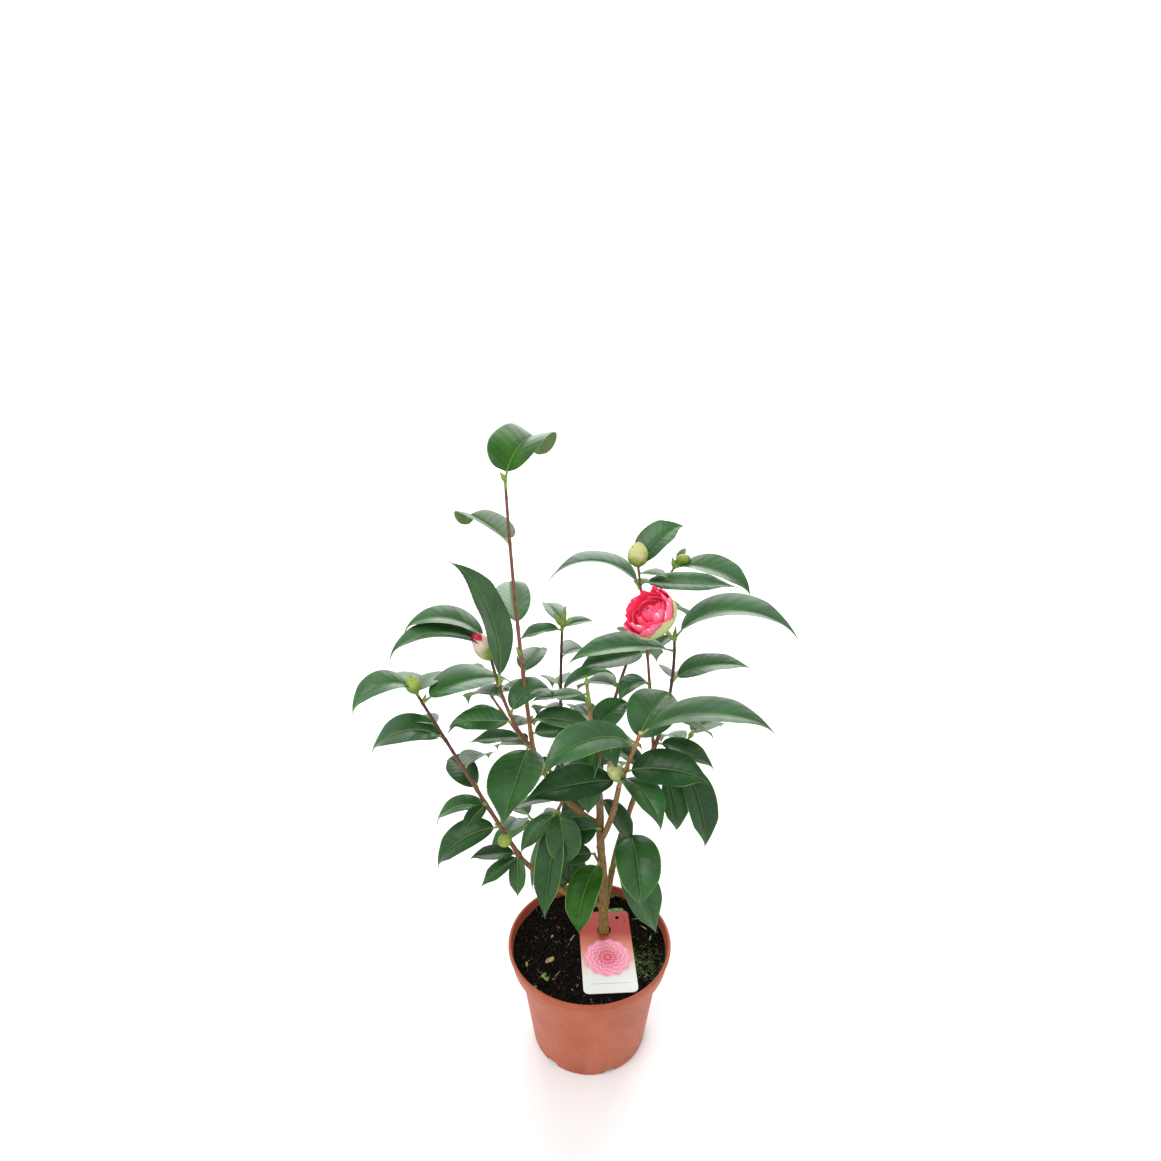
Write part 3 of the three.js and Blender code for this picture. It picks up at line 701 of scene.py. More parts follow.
limbs = Gathering()
for number, (start, end, bow, radii, flare) in enumerate(LIMBS.values()):
    length = np.linalg.norm(np.subtract(end, start)) * MM
    rings = int(length / LIMB_PITCH)
    shares = np.linspace(0, 1, rings + 1)
    centres = bent(start, end, bow, shares)
    radius = (radii[0] + (radii[1] - radii[0]) * shares + flare * (1 - shares) ** 12) * MM
    walk = shares * length
    sides = 2 * np.pi * np.arange(LIMB_SIDES) / LIMB_SIDES
    ridge = RIDGE * np.cos(3 * sides[None] + 14 * walk[:, None] / length + number)
    relief = np.zeros((rings + 1, LIMB_SIDES))
    for scar in range(1, int(length / SCAR_GAP)):
        at = (scar + 0.3 * vary(scar + 31 * number)) * SCAR_GAP
        bearing_at = scar * 2.4 + number
        near = np.exp(-(((walk - at) / SCAR_HALF) ** 2))[:, None]
        relief += near * (0.05 + 0.13 * np.clip(np.cos(sides - bearing_at), 0, 1) ** 2)[None]
    rough = np.zeros((rings + 1, LIMB_SIDES))
    for i, w in enumerate(walk):
        for j, a in enumerate(sides):
            spot = Vector((math.cos(a) * 1.6, math.sin(a) * 1.6, w * 210 + 9 * number))
            rough[i, j] = noise.fractal(spot, 0.9, 2.1, 4)
    wobble = np.array([[vary(number), vary(number + 3), 0]]) * np.sin(walk * 70)[:, None] * WOBBLE * MM
    ends = (np.sin(np.pi * shares) ** 0.5)[:, None]
    skin_radii = radius[:, None] * (1 + ridge + relief + ROUGHNESS * rough)
    points, faces = tube(centres + wobble * ends, skin_radii, LIMB_SIDES)
    limbs.add(points, faces, ages=np.repeat(shares, LIMB_SIDES))

bark = Finish("thin_bark", {"Specular IOR Level": 0.3})
place = bark.place()
grain = bark.cloud(bark.stretched(place, (1500, 1500, 130)), 1.0, 4, 0.65)
patches = bark.cloud(place, 55, 3)
pores = 1 - bark.step(bark.cells(bark.stretched(place, (420, 420, 260)), 1.0), 0.08, 0.2)
height = bark.step(bark.along(place, "Z"), 0.11, 0.27)
wood = bark.blend(bark.step(grain, 0.34, 0.68), tint("6b572a"), tint("a68f50"))
young = bark.blend(bark.step(grain, 0.34, 0.68), tint("5b3a28"), tint("99704c"))
wood = bark.blend(height * 0.85, wood, young)
wood = bark.blend(bark.step(patches, 0.5, 0.7) * 0.5, wood, tint("84765a"))
wood = bark.blend(pores * 0.5, wood, tint("c0a884"))
bark.drive("Base Color", wood)
bark.drive("Roughness", 0.6 + grain * 0.25)
bark.relief(grain * 0.8 + pores * 0.3, 0.0005, 0.7)
limb_piece = limbs.piece("bark_limbs", [bark])
finished(limb_piece, "bark", *LIMBS)

# ---- Shoots --------------------------------------------------------------------------------------
# The leafy shoots grow on from the boughs. Leaves are rows of (share of the way up the stem, heading,
# rise, droop, length, roll, breadth), buds are rows of (share, heading, rise, length, thickness), all in
# degrees and millimetres. Headings are seen from above, 0 along +X, and rises are above level.

SHOOTS = {
    "leader_shoot": {
        "stem": ((-48, 0, 317), (-64, 5, 546), (-2, 0, 0), (2.2, 1.3)),
        "leaves": [
            (1, 65, 69, 95, 75, 5, 1.58),
            (0.785, 130, 20, 20, 67, 13, 1.26),
            (0.48, 100, 25, 25, 74),
            (0.3, 72, 28, 40, 46, 0, 1.2),
            (0.12, 5, 8, 40, 60, 15),
            (0.06, 15, 12, 30, 42, 25, 1.2),
            (0.22, 120, 0, 40, 62),
        ],
        "buds": [(1, 200, 60, 9, 3.5)],
    },
    "left_shoot": {
        "stem": ((-48, 0, 317), (-82, -4, 419), (-1, -15, -4), (2, 1.3)),
        "leaves": [
            (0.08, 260, -5, 5, 88, 0, 1.27),
            (0.7, 197, 103, 50, 118, -42, 0.74),
            (0.98, 175, 70, 118, 84, 0, 0.88),
            (0.93, 190, 62, 112, 95, 0, 0.92),
            (0.45, 45, 70, 130, 60),
            (0.38, 185, 12, 20, 54, -15),
            (0.18, 178, 8, 25, 46, -10),
            (0.6, 130, 0, 45, 64),
        ],
        "buds": [(0.9, 186, 60, 26, 15)],
    },
    "outer_shoot": {
        "stem": ((-61, 0, 203), (-137, -25, 386), (-1, -3, 4), (2.4, 1.3)),
        "leaves": [
            (0.03, 185, 10, 20, 44),
            (0.02, 215, -15, 10, 42),
            (0.03, 270, -40, 40, 38),
            (0.2, 190, 8, 70, 72, -15),
            (0.3, 178, 42, 105, 58),
            (0.34, 240, 10, 40, 34),
            (0.42, 128, 35, 50, 54, -20),
            (0.72, 185, 52, 110, 73, -10, 1.1),
            (0.93, 38, 28, 62, 90, 15),
            (0.98, 96, 5, 30, 56, 0, 1.4),
            (1, 200, 60, 130, 62, -10),
            (0.15, 80, -5, 35, 60),
            (0.55, 75, 0, 40, 62),
            (0.8, 130, -5, 30, 60),
        ],
        "buds": [(1, 200, 80, 15, 11), (0.13, 240, 10, 14, 11)],
    },
    "back_shoot": {
        "stem": ((-22, 38, 200), (-24, 60, 402), (-3, 6, 0), (2.1, 1.3)),
        "leaves": [
            (0.03, 145, 5, 45, 50),
            (0.05, 195, -55, 15, 80),
            (0.04, 285, -45, 40, 62),
            (0.68, 10, 55, 70, 56),
            (1, 110, 22, 35, 50),
            (0.98, 185, 10, 40, 40),
            (0.16, 150, -10, 35, 66),
            (0.3, 95, 0, 50, 70),
            (0.45, 40, -5, 40, 66),
            (0.58, 118, -5, 40, 62),
            (0.7, 100, 5, 55, 66),
            (0.85, 60, 5, 50, 60),
            (0.06, 250, -75, 5, 76),
            (0.99, 35, 12, 30, 36),
        ],
        "buds": [(1, 250, 75, 10, 5)],
    },
    "centre_shoot": {
        "stem": ((6, 15, 285), (-3, 20, 366), (0, 0, 0), (2.2, 1.6)),
        "leaves": [
            (0.14, 250, -45, 35, 50),
            (0.9, 178, -5, 5, 50),
            (0.8, 140, -5, 20, 40),
            (0.4, 40, 60, 60, 48, 30, 1.2),
            (0.6, 110, 10, 50, 58),
        ],
        "buds": [(1, 100, 80, 9, 4)],
    },
    "long_shoot": {
        "stem": ((6, 15, 285), (79, 110, 441), (-7, 9, 4), (2, 1.2)),
        "leaves": [
            (0.97, 340, 24, 64, 78, 15, 1.1),
            (1, 60, 40, 20, 20),
            (0.35, 130, 0, 45, 66),
            (0.5, 60, -5, 40, 70),
            (0.62, 100, -5, 45, 62),
            (0.75, 40, -5, 40, 64),
            (0.86, 110, 10, 60, 62),
        ],
        "buds": [(1, 5, 25, 14, 10)],
    },
    "front_shoot": {
        "stem": ((24, -8, 285), (39, -30, 351), (0, 0, 0), (2.2, 2)),
        "leaves": [
            (0.12, 195, 12, 25, 84, -15),
            (0.75, 205, 56, 104, 95, -15, 0.85),
            (0.8, 62, 40, 50, 72, 15, 1.4),
            (0.95, 348, 52, 76, 116),
            (0.28, 345, 30, 50, 74, 25, 1.15),
            (0.14, 300, 40, 90, 68),
        ],
        "buds": [(0.16, 200, 50, 22, 13)],
    },
    "flower_shoot": {
        "stem": ((58, 45, 289), (70, 35, 403), (5, 0, 0), (2.1, 1.4)),
        "leaves": [
            (0.3, 25, -30, 5, 66),
            (0.88, 188, 22, 42, 94),
            (0.62, 0, 45, 62, 72, 10),
            (0.98, 350, 68, 114, 121, 10, 0.92),
            (0.2, 90, -5, 35, 68),
            (0.62, 80, 0, 45, 66),
            (0.04, 350, -2, 35, 60),
        ],
    },
    "bud_shoot": {
        "stem": ((57, 46, 287), (39, 52, 462), (2, 8, 0), (1.7, 1.1)),
        "leaves": [
            (0.9, 346, 6, 5, 82, 27, 0.68),
            (0.95, 310, 15, 5, 34),
            (0.98, 20, 75, 65, 56, 20, 1.15),
            (0.86, 175, 71, 120, 95),
            (0.52, 206, 3, 5, 68, -22, 0.98),
            (0.5, 50, 20, 20, 42),
            (0.33, 213, 69, 138, 42, 4, 1.3),
        ],
        "buds": [(1, 270, 85, 21, 17)],
    },
    "low_front_spray": {
        "stem": ((12, 15, 181), (4, 6, 203), (0, 0, -2), (1.8, 1.3)),
        "leaves": [(0.4, 245, 25, 125, 76), (1, 190, 10, 30, 34, -20, 1.3)],
    },
    "mid_front_spray": {
        "stem": ((10, 14, 221), (9, 5, 231), (0, 0, 0), (1.8, 1.4)),
        "leaves": [(1, 185, 10, 45, 38, -45, 1.6)],
    },
    "low_right_spray": {
        "stem": ((24, 29, 174), (36, 21, 214), (0, 0, -3), (1.9, 1.3)),
        "leaves": [
            (1, 278, 25, 105, 74, 0, 1.4),
            (0.3, 318, -42, 20, 78, 0, 1.25),
            (0.6, 70, -15, 35, 56),
        ],
    },
    "mid_right_spray": {
        "stem": ((50, 47, 258), (80, 26, 290), (2, 0, -5), (1.9, 1.3)),
        "leaves": [(1, 300, -28, 55, 83, 0, 0.88), (0.55, 288, -35, 40, 56), (0.8, 70, -10, 40, 60)],
    },
    "hanging_spray": {
        "stem": ((-22, 10, 262), (-29, 3, 249), (0, 0, 0), (1.8, 1.4)),
        "leaves": [
            (0.8, 285, -22, 78, 52, 0, 1.35),
            (1, 205, -28, 20, 47),
            (0.9, 254, -59, 5, 94, 0, 0.74),
        ],
    },
    "back_left_spray": {
        "stem": ((-32, 5, 288), (-96, 82, 330), (0, 5, -8), (2, 1.2)),
        "leaves": [
            (1, 130, 20, 60, 66),
            (0.9, 60, 0, 50, 64),
            (0.75, 175, 0, 50, 62),
            (0.55, 75, 0, 50, 66),
            (0.35, 130, -10, 30, 60),
        ],
        "buds": [(1, 130, 50, 10, 5)],
    },
    "back_right_spray": {
        "stem": ((44, 44, 235), (98, 104, 262), (0, 4, -6), (2, 1.2)),
        "leaves": [
            (1, 50, 20, 60, 68),
            (0.9, 110, 0, 50, 64),
            (0.75, 70, -20, 40, 58),
            (0.55, 120, -10, 45, 60),
            (0.4, 45, -30, 25, 50),
        ],
        "buds": [(1, 40, 50, 10, 5)],
    },
    "back_low_spray": {
        "stem": ((-12, 31, 184), (-58, 88, 178), (0, 2, 2), (1.9, 1.2)),
        "leaves": [
            (1, 120, 10, 60, 66),
            (0.85, 190, -5, 50, 60),
            (0.7, 60, 0, 50, 62),
            (0.45, 130, -10, 40, 58),
        ],
    },
    "back_mid_spray": {
        "stem": ((9, 16, 246), (8, 104, 268), (0, 0, -4), (1.9, 1.2)),
        "leaves": [
            (1, 95, 15, 60, 68),
            (0.9, 30, 0, 50, 62),
            (0.75, 125, -10, 45, 58),
            (0.55, 60, -5, 45, 60),
            (0.4, 110, -20, 35, 50),
        ],
    },
}
STEM_SIDES = 12
STEM_PITCH = 1.5 * MM
STEM_SLIMMING = 0.15  # above the joint, where the bark is thinner than at the foot
SWELLING, SWELLING_HALF = 0.25 * MM, 2.2 * MM  # where a leaf or bud sits
JOINT_GAP = 24  # millimetres between the rings of bud scars
JOINT_SWELLING, JOINT_HALF = 0.14 * MM, 0.9 * MM
STEM_TONES = {
    # how dark the bark is at the foot of a shoot and at its tip: 0 tan, 0.5 russet, 1 maroon
    "leader_shoot": (0.2, 0.8),
    "left_shoot": (0.3, 0.95),
    "outer_shoot": (0.45, 1.0),
    "back_shoot": (0.6, 1.0),
    "centre_shoot": (0.1, 0.2),
    "long_shoot": (0.4, 0.7),
    "front_shoot": (0.05, 0.2),
    "flower_shoot": (0.75, 1.0),
    "bud_shoot": (0.35, 0.7),
}
OTHER_TONES = (0.2, 0.5)
PRUNED = ("front_shoot", "centre_shoot")


def direction(heading, rise):
    """The unit vector at a heading and a rise, in degrees."""
    heading, rise = np.radians(heading), np.radians(rise)
    level = np.cos(rise)
    return np.stack([level * np.cos(heading), level * np.sin(heading), np.sin(rise)], axis=-1)


def on_stem(name, shares):
    """Points on a shoot's stem at shares of its way."""
    return bent(*SHOOTS[name]["stem"][:3], shares)


twigs = Gathering()
for name, shoot in SHOOTS.items():
    start, end, _, radii = shoot["stem"]
    length = np.linalg.norm(np.subtract(end, start)) * MM
    rings = max(int(length / STEM_PITCH), 6)
    shares = np.linspace(-0.02, 1.0, rings + 1)
    centres = on_stem(name, shares)
    radius = (radii[0] + (radii[1] - radii[0]) * shares) * MM
    radius = radius * (1 - STEM_SLIMMING * np.clip(shares / 0.1, 0, 1))
    for row in (*shoot["leaves"], *shoot.get("buds", ())):
        radius = radius + SWELLING * np.exp(-(((shares - row[0]) * length / SWELLING_HALF) ** 2))
    for joint in range(1, int(length / (JOINT_GAP * MM)) + 1):
        from_ring = (shares * length - joint * JOINT_GAP * MM) / JOINT_HALF
        radius = radius + JOINT_SWELLING * np.exp(-(from_ring**2))
    points, faces = tube(centres, radius, STEM_SIDES)
    kinds = [0] * (len(faces) - 1) + [int(name in PRUNED)]
    low, high = STEM_TONES.get(name, OTHER_TONES)
    green = 0.0 if name in PRUNED else 1.0
    marks = np.stack([low + (high - low) * shares, green * shares], axis=1)
    twigs.add(points, faces, kinds, np.repeat(marks, STEM_SIDES, axis=0))

young_bark = Finish("young_bark", {"Specular IOR Level": 0.4})
place = young_bark.place()
pattern = young_bark.node("ShaderNodeUVMap", {"uv_map": "pattern"}, {})
tone, share = young_bark.along(pattern, "X"), young_bark.along(pattern, "Y")
grain = young_bark.cloud(young_bark.stretched(place, (1300, 1300, 180)), 1.0, 3, 0.6)
streak = young_bark.step(grain, 0.35, 0.65)
tone = tone + young_bark.cloud(place, 40, 2) * 0.3 - 0.15
tan = young_bark.blend(streak, tint("8a6238"), tint("b98c58"))
russet = young_bark.blend(streak, tint("5c3827"), tint("8c5b42"))
maroon = young_bark.blend(streak, tint("2e1718"), tint("5a2f2b"))
twig_colour = young_bark.blend(young_bark.step(tone, 0.0, 0.5), tan, russet)
twig_colour = young_bark.blend(young_bark.step(tone, 0.5, 1.0), twig_colour, maroon)
twig_colour = young_bark.blend(young_bark.step(share, 0.955, 0.985), twig_colour, tint("718c35"))
young_bark.drive("Base Color", twig_colour)
young_bark.drive("Roughness", 0.45 + grain * 0.2)
young_bark.relief(grain, 0.0003, 0.5)
cut_wood = Finish("cut_wood", {"Roughness": 0.75})
pith = cut_wood.cloud(cut_wood.place(), 900, 3)
cut_wood.drive("Base Color", cut_wood.blend(pith, tint("b39a74"), tint("dccaa6")))
twig_piece = twigs.piece("twigs", [young_bark, cut_wood])
finished(twig_piece, "foliage", *SHOOTS)

# ---- Leaves --------------------------------------------------------------------------------------
# Thick leathery evergreen blades, finely toothed, folded up along a pale sunken midrib and drawn out to
# a point that hangs. The upper side is glossy, the lower side is paler and dull. Each sits on a short
# fleshy stalk. Three pieces: the left of the plant, its middle and its right.

LEAF_ROWS = 30
LEAF_FINE = 60  # steps along a leaf's bend
LEAF_WIDTH = 0.43
LEAF_FOLD = 0.27
LEAF_ARCH = 0.07
LEAF_BEND = 0.8
STALK_SHARE = 1 / 12
STALK_RADIUS = 1.0 * MM
BLADE_THICKNESS = 0.42 * MM
RIB_THICKNESS = 1.0 * MM
RIB_HALF = 0.36 * MM
TOOTH = 0.3 * MM
TIP_SHARE = 0.68  # where the drawn-out tip begins
TIP_CURL, TIP_HANG = 42, 0.76  # degrees that a tip hangs beyond the blade's own bend, and from where
TWIST, ROLL_SPREAD = 16, 8  # degrees by which leaves differ
BROAD = 1.18  # a leaf of this breadth or more has a blunter tip
LONG_FROM, LONG_SPAN, LONG_SLIMMING = 60, 40, 0.14  # long blades are narrower
CURLS = {  # blunt leaves, with the end rolled under: degrees, where the roll begins, fullness
    ("leader_shoot", 0): (89, 0.69, 0.49),
    ("leader_shoot", 1): (115, 0.79, 0.47),
}
BLADE_COLUMNS = np.array([-1, -0.965, -0.74, -0.48, -0.22, -0.05, 0, 0.05, 0.22, 0.48, 0.74, 0.965, 1])
TONES = 5  # blade colours, dealt out by leaf: darker ones are painted shade low in the crown, lighter ones are painted sheen high up, and one is for fresh leaves
INNER_LEAVES = {  # small leaves in the crown's shade, between the ones in SHOOTS
    "back_mid_spray": (
        (0.35, 215, -22, 30, 56, 0, 1.1),
        (0.15, 325, -28, 30, 52, 0, 1.1),
        (0.7, 205, 5, 50, 60, 0, 1.1),
        (0.85, 338, 8, 50, 56, 0, 1.1),
    ),
    "back_shoot": ((0.5, 325, -5, 40, 56, 0, 1.1), (0.36, 205, -5, 40, 58, 0, 1.1)),
    "centre_shoot": ((0.3, 250, -15, 40, 50, 0, 1.1), (0.55, 300, 0, 45, 48, 0, 1.1)),
}
UNDER, RIB, MARGIN = TONES, TONES + 1, TONES + 2
LEAF_PIECES = {
    "leaves_left": ("leader_shoot", "left_shoot", "outer_shoot", "back_left_spray", "back_low_spray"),
    "leaves_middle": (
        "back_shoot",
        "centre_shoot",
        "long_shoot",
        "low_front_spray",
        "mid_front_spray",
        "hanging_spray",
        "back_mid_spray",
    ),
    "leaves_right": (
        "front_shoot",
        "flower_shoot",
        "bud_shoot",
        "low_right_spray",
        "mid_right_spray",
        "back_right_spray",
    ),
}

rows, columns = LEAF_ROWS, len(BLADE_COLUMNS)
middle = columns // 2


def leaf_pattern():
    """The faces of every leaf and the part of the leaf that each belongs to."""
    upper = np.arange((rows + 1) * columns).reshape(rows + 1, columns)
    inner = upper.size + np.arange((rows + 1) * (columns - 2)).reshape(rows + 1, columns - 2)
    lower = np.concatenate([upper[:, :1], inner, upper[:, -1:]], axis=1)
    teeth = upper.size + inner.size + np.arange(2 * rows).reshape(2, rows)
    faces, parts = [], []
    for i in range(rows):
        for j in range(columns - 1):
            for grid, side in ((upper, 1), (lower, -1)):
                face = [grid[i, j], grid[i + 1, j], grid[i + 1, j + 1], grid[i, j + 1]]
                if j == 0:
                    face.insert(1, teeth[0, i])
                if j == columns - 2:
                    face.insert(3, teeth[1, i])
                faces.append(tuple(int(k) for k in face[::side]))
                if j in (middle - 1, middle):
                    parts.append("rib")
                elif side < 0:
                    parts.append("under")
                else:
                    parts.append("margin" if j in (0, columns - 2) else "blade")
    for i, turn in ((0, 1), (rows, -1)):
        loop = [*upper[i], *lower[i, 1:-1][::-1]]
        faces.append(tuple(int(k) for k in loop[::turn]))
        parts.append("rib")
    return faces, parts


LEAF_FACES, LEAF_PARTS = leaf_pattern()


def leaf_shape(root, row, seed, curl=None):
    """Points of one leaf, their places on it as (across, along), and the centres of its stalk."""
    _, heading, rise, droop, length, roll, breadth = (*row, *(0, 1)[len(row) - 5 :])
    length = length * MM
    q = (np.arange(LEAF_FINE) + 0.5) / LEAF_FINE
    if curl is None:
        hanging = np.clip((q - TIP_HANG) / 0.24, 0, 1) ** 1.5
        hang = TIP_CURL * (0.7 + 0.5 * vary(seed + 0.7)) * hanging
    else:
        roll_under, begin, fullness = curl
        hang = roll_under * np.clip((q - begin) / (1 - begin), 0, 1)
    pitch = rise - droop * q**LEAF_BEND - hang
    steps = direction(heading, pitch) * length / LEAF_FINE
    line = root + np.concatenate([np.zeros((1, 3)), np.cumsum(steps, axis=0)])
    even = np.arange(rows + 1) / rows
    s = 0.6 * even + 0.4 * (1 - np.cos(np.pi * even)) / 2
    reach = (STALK_SHARE + (1 - STALK_SHARE) * s) * LEAF_FINE
    marks_along = np.arange(LEAF_FINE + 1)
    centres = np.stack([np.interp(reach, marks_along, line[:, k]) for k in range(3)], axis=1)
    along = direction(heading, np.interp(reach, np.arange(LEAF_FINE) + 0.5, pitch))
    side = direction(heading + 90, 0)
    up = np.cross(along, side)
    twist = TWIST * vary(seed + 0.3) * (s - 0.35)
    turn = np.radians(roll + ROLL_SPREAD * vary(seed + 0.5) + twist)[:, None]
    across = side * np.cos(turn) + up * np.sin(turn)
    over = np.cross(along, across)
    tip = np.clip((1 - s) / (1 - TIP_SHARE), 0, 1)
    taper = 1 if curl is not None else tip ** (0.75 if breadth < BROAD else 0.5)
    slimmer = 1 - LONG_SLIMMING * np.clip((length / MM - LONG_FROM) / LONG_SPAN, 0, 1)
    half = LEAF_WIDTH / 2 * length * breadth * slimmer * (1 + 0.08 * vary(seed))
    half = half * np.sin(np.pi * s**0.8) ** (0.7 if curl is None else fullness) * taper
    half = np.maximum(half, np.where(s < 0.5, 0.7 * MM, 0.16 * MM))
    u = np.tile(BLADE_COLUMNS, (rows + 1, 1))
    rib = np.minimum(RIB_HALF * (1 - 0.6 * s) / half, 0.2)
    u[:, middle - 1], u[:, middle + 1] = -rib, rib
    fold = LEAF_FOLD * (1 + 0.3 * vary(seed + 0.1))
    arch = LEAF_ARCH * (1 + 0.5 * vary(seed + 0.2))
    ripple = 0.014 * length * vary(seed + 0.4) * np.sin(2 * np.pi * (1.6 * s + 0.5 * vary(seed + 0.6)))
    lift = half[:, None] * (fold * np.abs(u) + arch * np.sin(np.pi * np.abs(u)))
    lift = lift + ripple[:, None] * u * np.abs(u) * np.sin(np.pi * s)[:, None]
    lift[:, middle] -= 0.25 * MM * np.sin(np.pi * s) ** 0.5
    top = centres[:, None] + across[:, None] * (half[:, None] * u)[..., None]
    top = top + over[:, None] * lift[..., None]
    thick = BLADE_THICKNESS * (1 - u**4)
    thick[:, middle] = RIB_THICKNESS * (1 - 0.75 * s)
    thick[:, [middle - 1, middle + 1]] = 0.6 * RIB_THICKNESS * (1 - 0.75 * s)[:, None]
    bottom = top - over[:, None] * thick[..., None]
    edges = []
    for j, out in ((0, -1), (columns - 1, 1)):
        between = (top[:-1, j] + top[1:, j]) / 2
        edges.append(between + (across[:-1] * out + along[:-1] * 0.6) * TOOTH)
    points = np.concatenate([top.reshape(-1, 3), bottom[:, 1:-1].reshape(-1, 3), *edges])
    marks = np.stack([u, np.tile(s[:, None], (1, columns))], axis=-1)
    edge_marks = [np.stack([np.full(rows, out), (s[:-1] + s[1:]) / 2], axis=-1) for out in (-1.0, 1.0)]
    marks = np.concatenate([marks.reshape(-1, 2), marks[:, 1:-1].reshape(-1, 2), *edge_marks])
    stalk_end = int(LEAF_FINE * (STALK_SHARE + 0.03))
    return points, marks * [0.5, 1] + [0.5, 0], line[: stalk_end + 1] - over[0] * 0.3 * MM


def blade_finish(name, dark, light, vein_tone, gloss):
    """A leaf's skin: faint side veins off the midrib, mottling between them, and a waxy gloss."""
    finish = Finish(name, {"Specular IOR Level": 0.5, "Coat Roughness": 0.28})
    pattern = finish.node("ShaderNodeUVMap", {"uv_map": "pattern"}, {})
    across = finish.along(pattern, "X") * 2 - 1
    out = finish.node("ShaderNodeMath", {"operation": "ABSOLUTE"}, {0: across})
    up = finish.along(pattern, "Y")
    sweep = up * 9 - out * 1.9 + out * out * 0.35 + 4
    fan = finish.node("ShaderNodeMath", {"operation": "FRACT"}, {0: sweep})
    from_vein = finish.node("ShaderNodeMath", {"operation": "ABSOLUTE"}, {0: fan - 0.5})
    vein = (1 - finish.step(from_vein, 0.0, 0.09)) * (1 - finish.step(out, 0.6, 0.9))
    place = finish.place()
    mottle = finish.cloud(place, 45, 3, 0.55)
    near_rib = 1 - finish.step(out, 0.02, 0.25)
    colour = finish.blend(finish.step(mottle, 0.25, 0.75), dark, light)
    colour = finish.blend(near_rib * 0.2, colour, light)
    finish.drive("Base Color", finish.blend(vein * 0.13, colour, vein_tone))
    finish.drive("Roughness", gloss + mottle * 0.1)
    puff = finish.step(from_vein, 0.0, 0.5)
    finish.relief(puff * 0.5 + finish.cells(place, 900) * 0.08 + mottle * 0.4, 0.0006, 0.4)
    return finish


BLADE_COLOURS = (
    # dark and light tone, coat and specular: two darker ones as painted shade for low leaves, two lighter
    # ones as painted sheen for high ones, one for fresh ones
    ("103612", "1b4a19", 0.03, 0.36),
    ("173f13", "265a20", 0.06, 0.38),
    ("1b451d", "2b5c28", 0.09, 0.46),
    ("1f4c23", "33652e", 0.09, 0.46),
    ("173f08", "2d600e", 0.0, 0.2),
)
SHADE_TOP = 325 * MM
FRESH_LEAVES = (("leader_shoot", 0), ("leader_shoot", 1), ("low_front_spray", 0))
blade_finishes = []
for k, (dark, light, coat, specular) in enumerate(BLADE_COLOURS):
    skin = blade_finish(f"leaf_upper_{k}", tint(dark), tint(light), tint("5c8a45"), 0.35)
    skin.shader.inputs["Coat Weight"].default_value = coat
    skin.shader.inputs["Specular IOR Level"].default_value = specular
    blade_finishes.append(skin)
leaf_under = blade_finish("leaf_under", tint("4f6d3b"), tint("749053"), tint("9aae73"), 0.5)
leaf_rib = Finish("leaf_rib", {"Roughness": 0.42})
rib_cloud = leaf_rib.cloud(leaf_rib.place(), 60, 2)
leaf_rib.drive("Base Color", leaf_rib.blend(rib_cloud, tint("55802f"), tint("86a548")))
leaf_margin = two_tone("leaf_margin", {"Roughness": 0.4}, 28, 2, 0.4, 0.65, "23452a", "6c8f3c")

numbers = {name: number for number, name in enumerate(SHOOTS)}
for piece_name, shoot_names in LEAF_PIECES.items():
    leaves = Gathering()
    for name in shoot_names:
        for k, row in enumerate((*SHOOTS[name]["leaves"], *INNER_LEAVES.get(name, ()))):
            seed = 40 * numbers[name] + k
            root = on_stem(name, row[0])
            points, marks, stalk = leaf_shape(root, row, seed, CURLS.get((name, k)))
            # Leaves rooted below SHADE_TOP take the darker tones as painted shade, and higher ones the
            # lighter tones as painted sheen.
            tone = int(vary(seed + 0.9) > 0) + (2 if root[2] > SHADE_TOP else 0)
            if (name, k) in FRESH_LEAVES:
                tone = TONES - 1
            part_kinds = {"blade": tone, "under": UNDER, "rib": RIB, "margin": MARGIN}
            leaves.add(points, LEAF_FACES, [part_kinds[part] for part in LEAF_PARTS], marks)
            points, faces = tube(stalk, STALK_RADIUS * np.linspace(1.25, 0.8, len(stalk)), 8)
            leaves.add(points, faces, RIB)
    leaf_piece = leaves.piece(piece_name, [*blade_finishes, leaf_under, leaf_rib, leaf_margin])
    finished(leaf_piece, "foliage", *shoot_names)

# ---- Buds ----------------------------------------------------------------------------------------
# Slender pointed leaf buds in the forks and at the tips, and fat flower buds wrapped in overlapping silky
# scales with thin brown edges. One is just opening and shows the petals above its scales.

BUD_SINK = 1.5 * MM
SLENDER_BELOW = 6  # a thinner bud is a leaf bud
AXIL_LENGTH, AXIL_THICKNESS, AXIL_LIFT = 8, 2.6, 38  # the small bud above a leaf's stalk
SCALE_ROWS, SCALE_COLUMNS = 9, 9
FAT_TIERS = ((0.0, 0.44, 2), (0.0, 0.68, 2), (0.0, 0.88, 2), (0.05, 1.0, 3))
OPEN_TIERS = ((0.0, 0.5, 2), (0.0, 0.72, 2), (0.0, 0.9, 3))
SLENDER_TIERS = ((0.0, 0.45, 2), (0.0, 0.75, 2))
TIP_BUDS = (
    # shoot, share, heading, rise, length, thickness
    ("back_shoot", 1, 205, 58, 17, 5),
    ("back_shoot", 1, 330, 80, 22, 4.6),
    ("back_shoot", 1, 15, 25, 13, 3.6),
    ("centre_shoot", 0.72, 200, 84, 24, 3.4),
    ("long_shoot", 0.97, 175, 78, 12, 4),
    ("leader_shoot", 0.375, 200, 66, 11, 3.4),
    ("flower_shoot", 0.97, 60, 84, 15, 3),
)


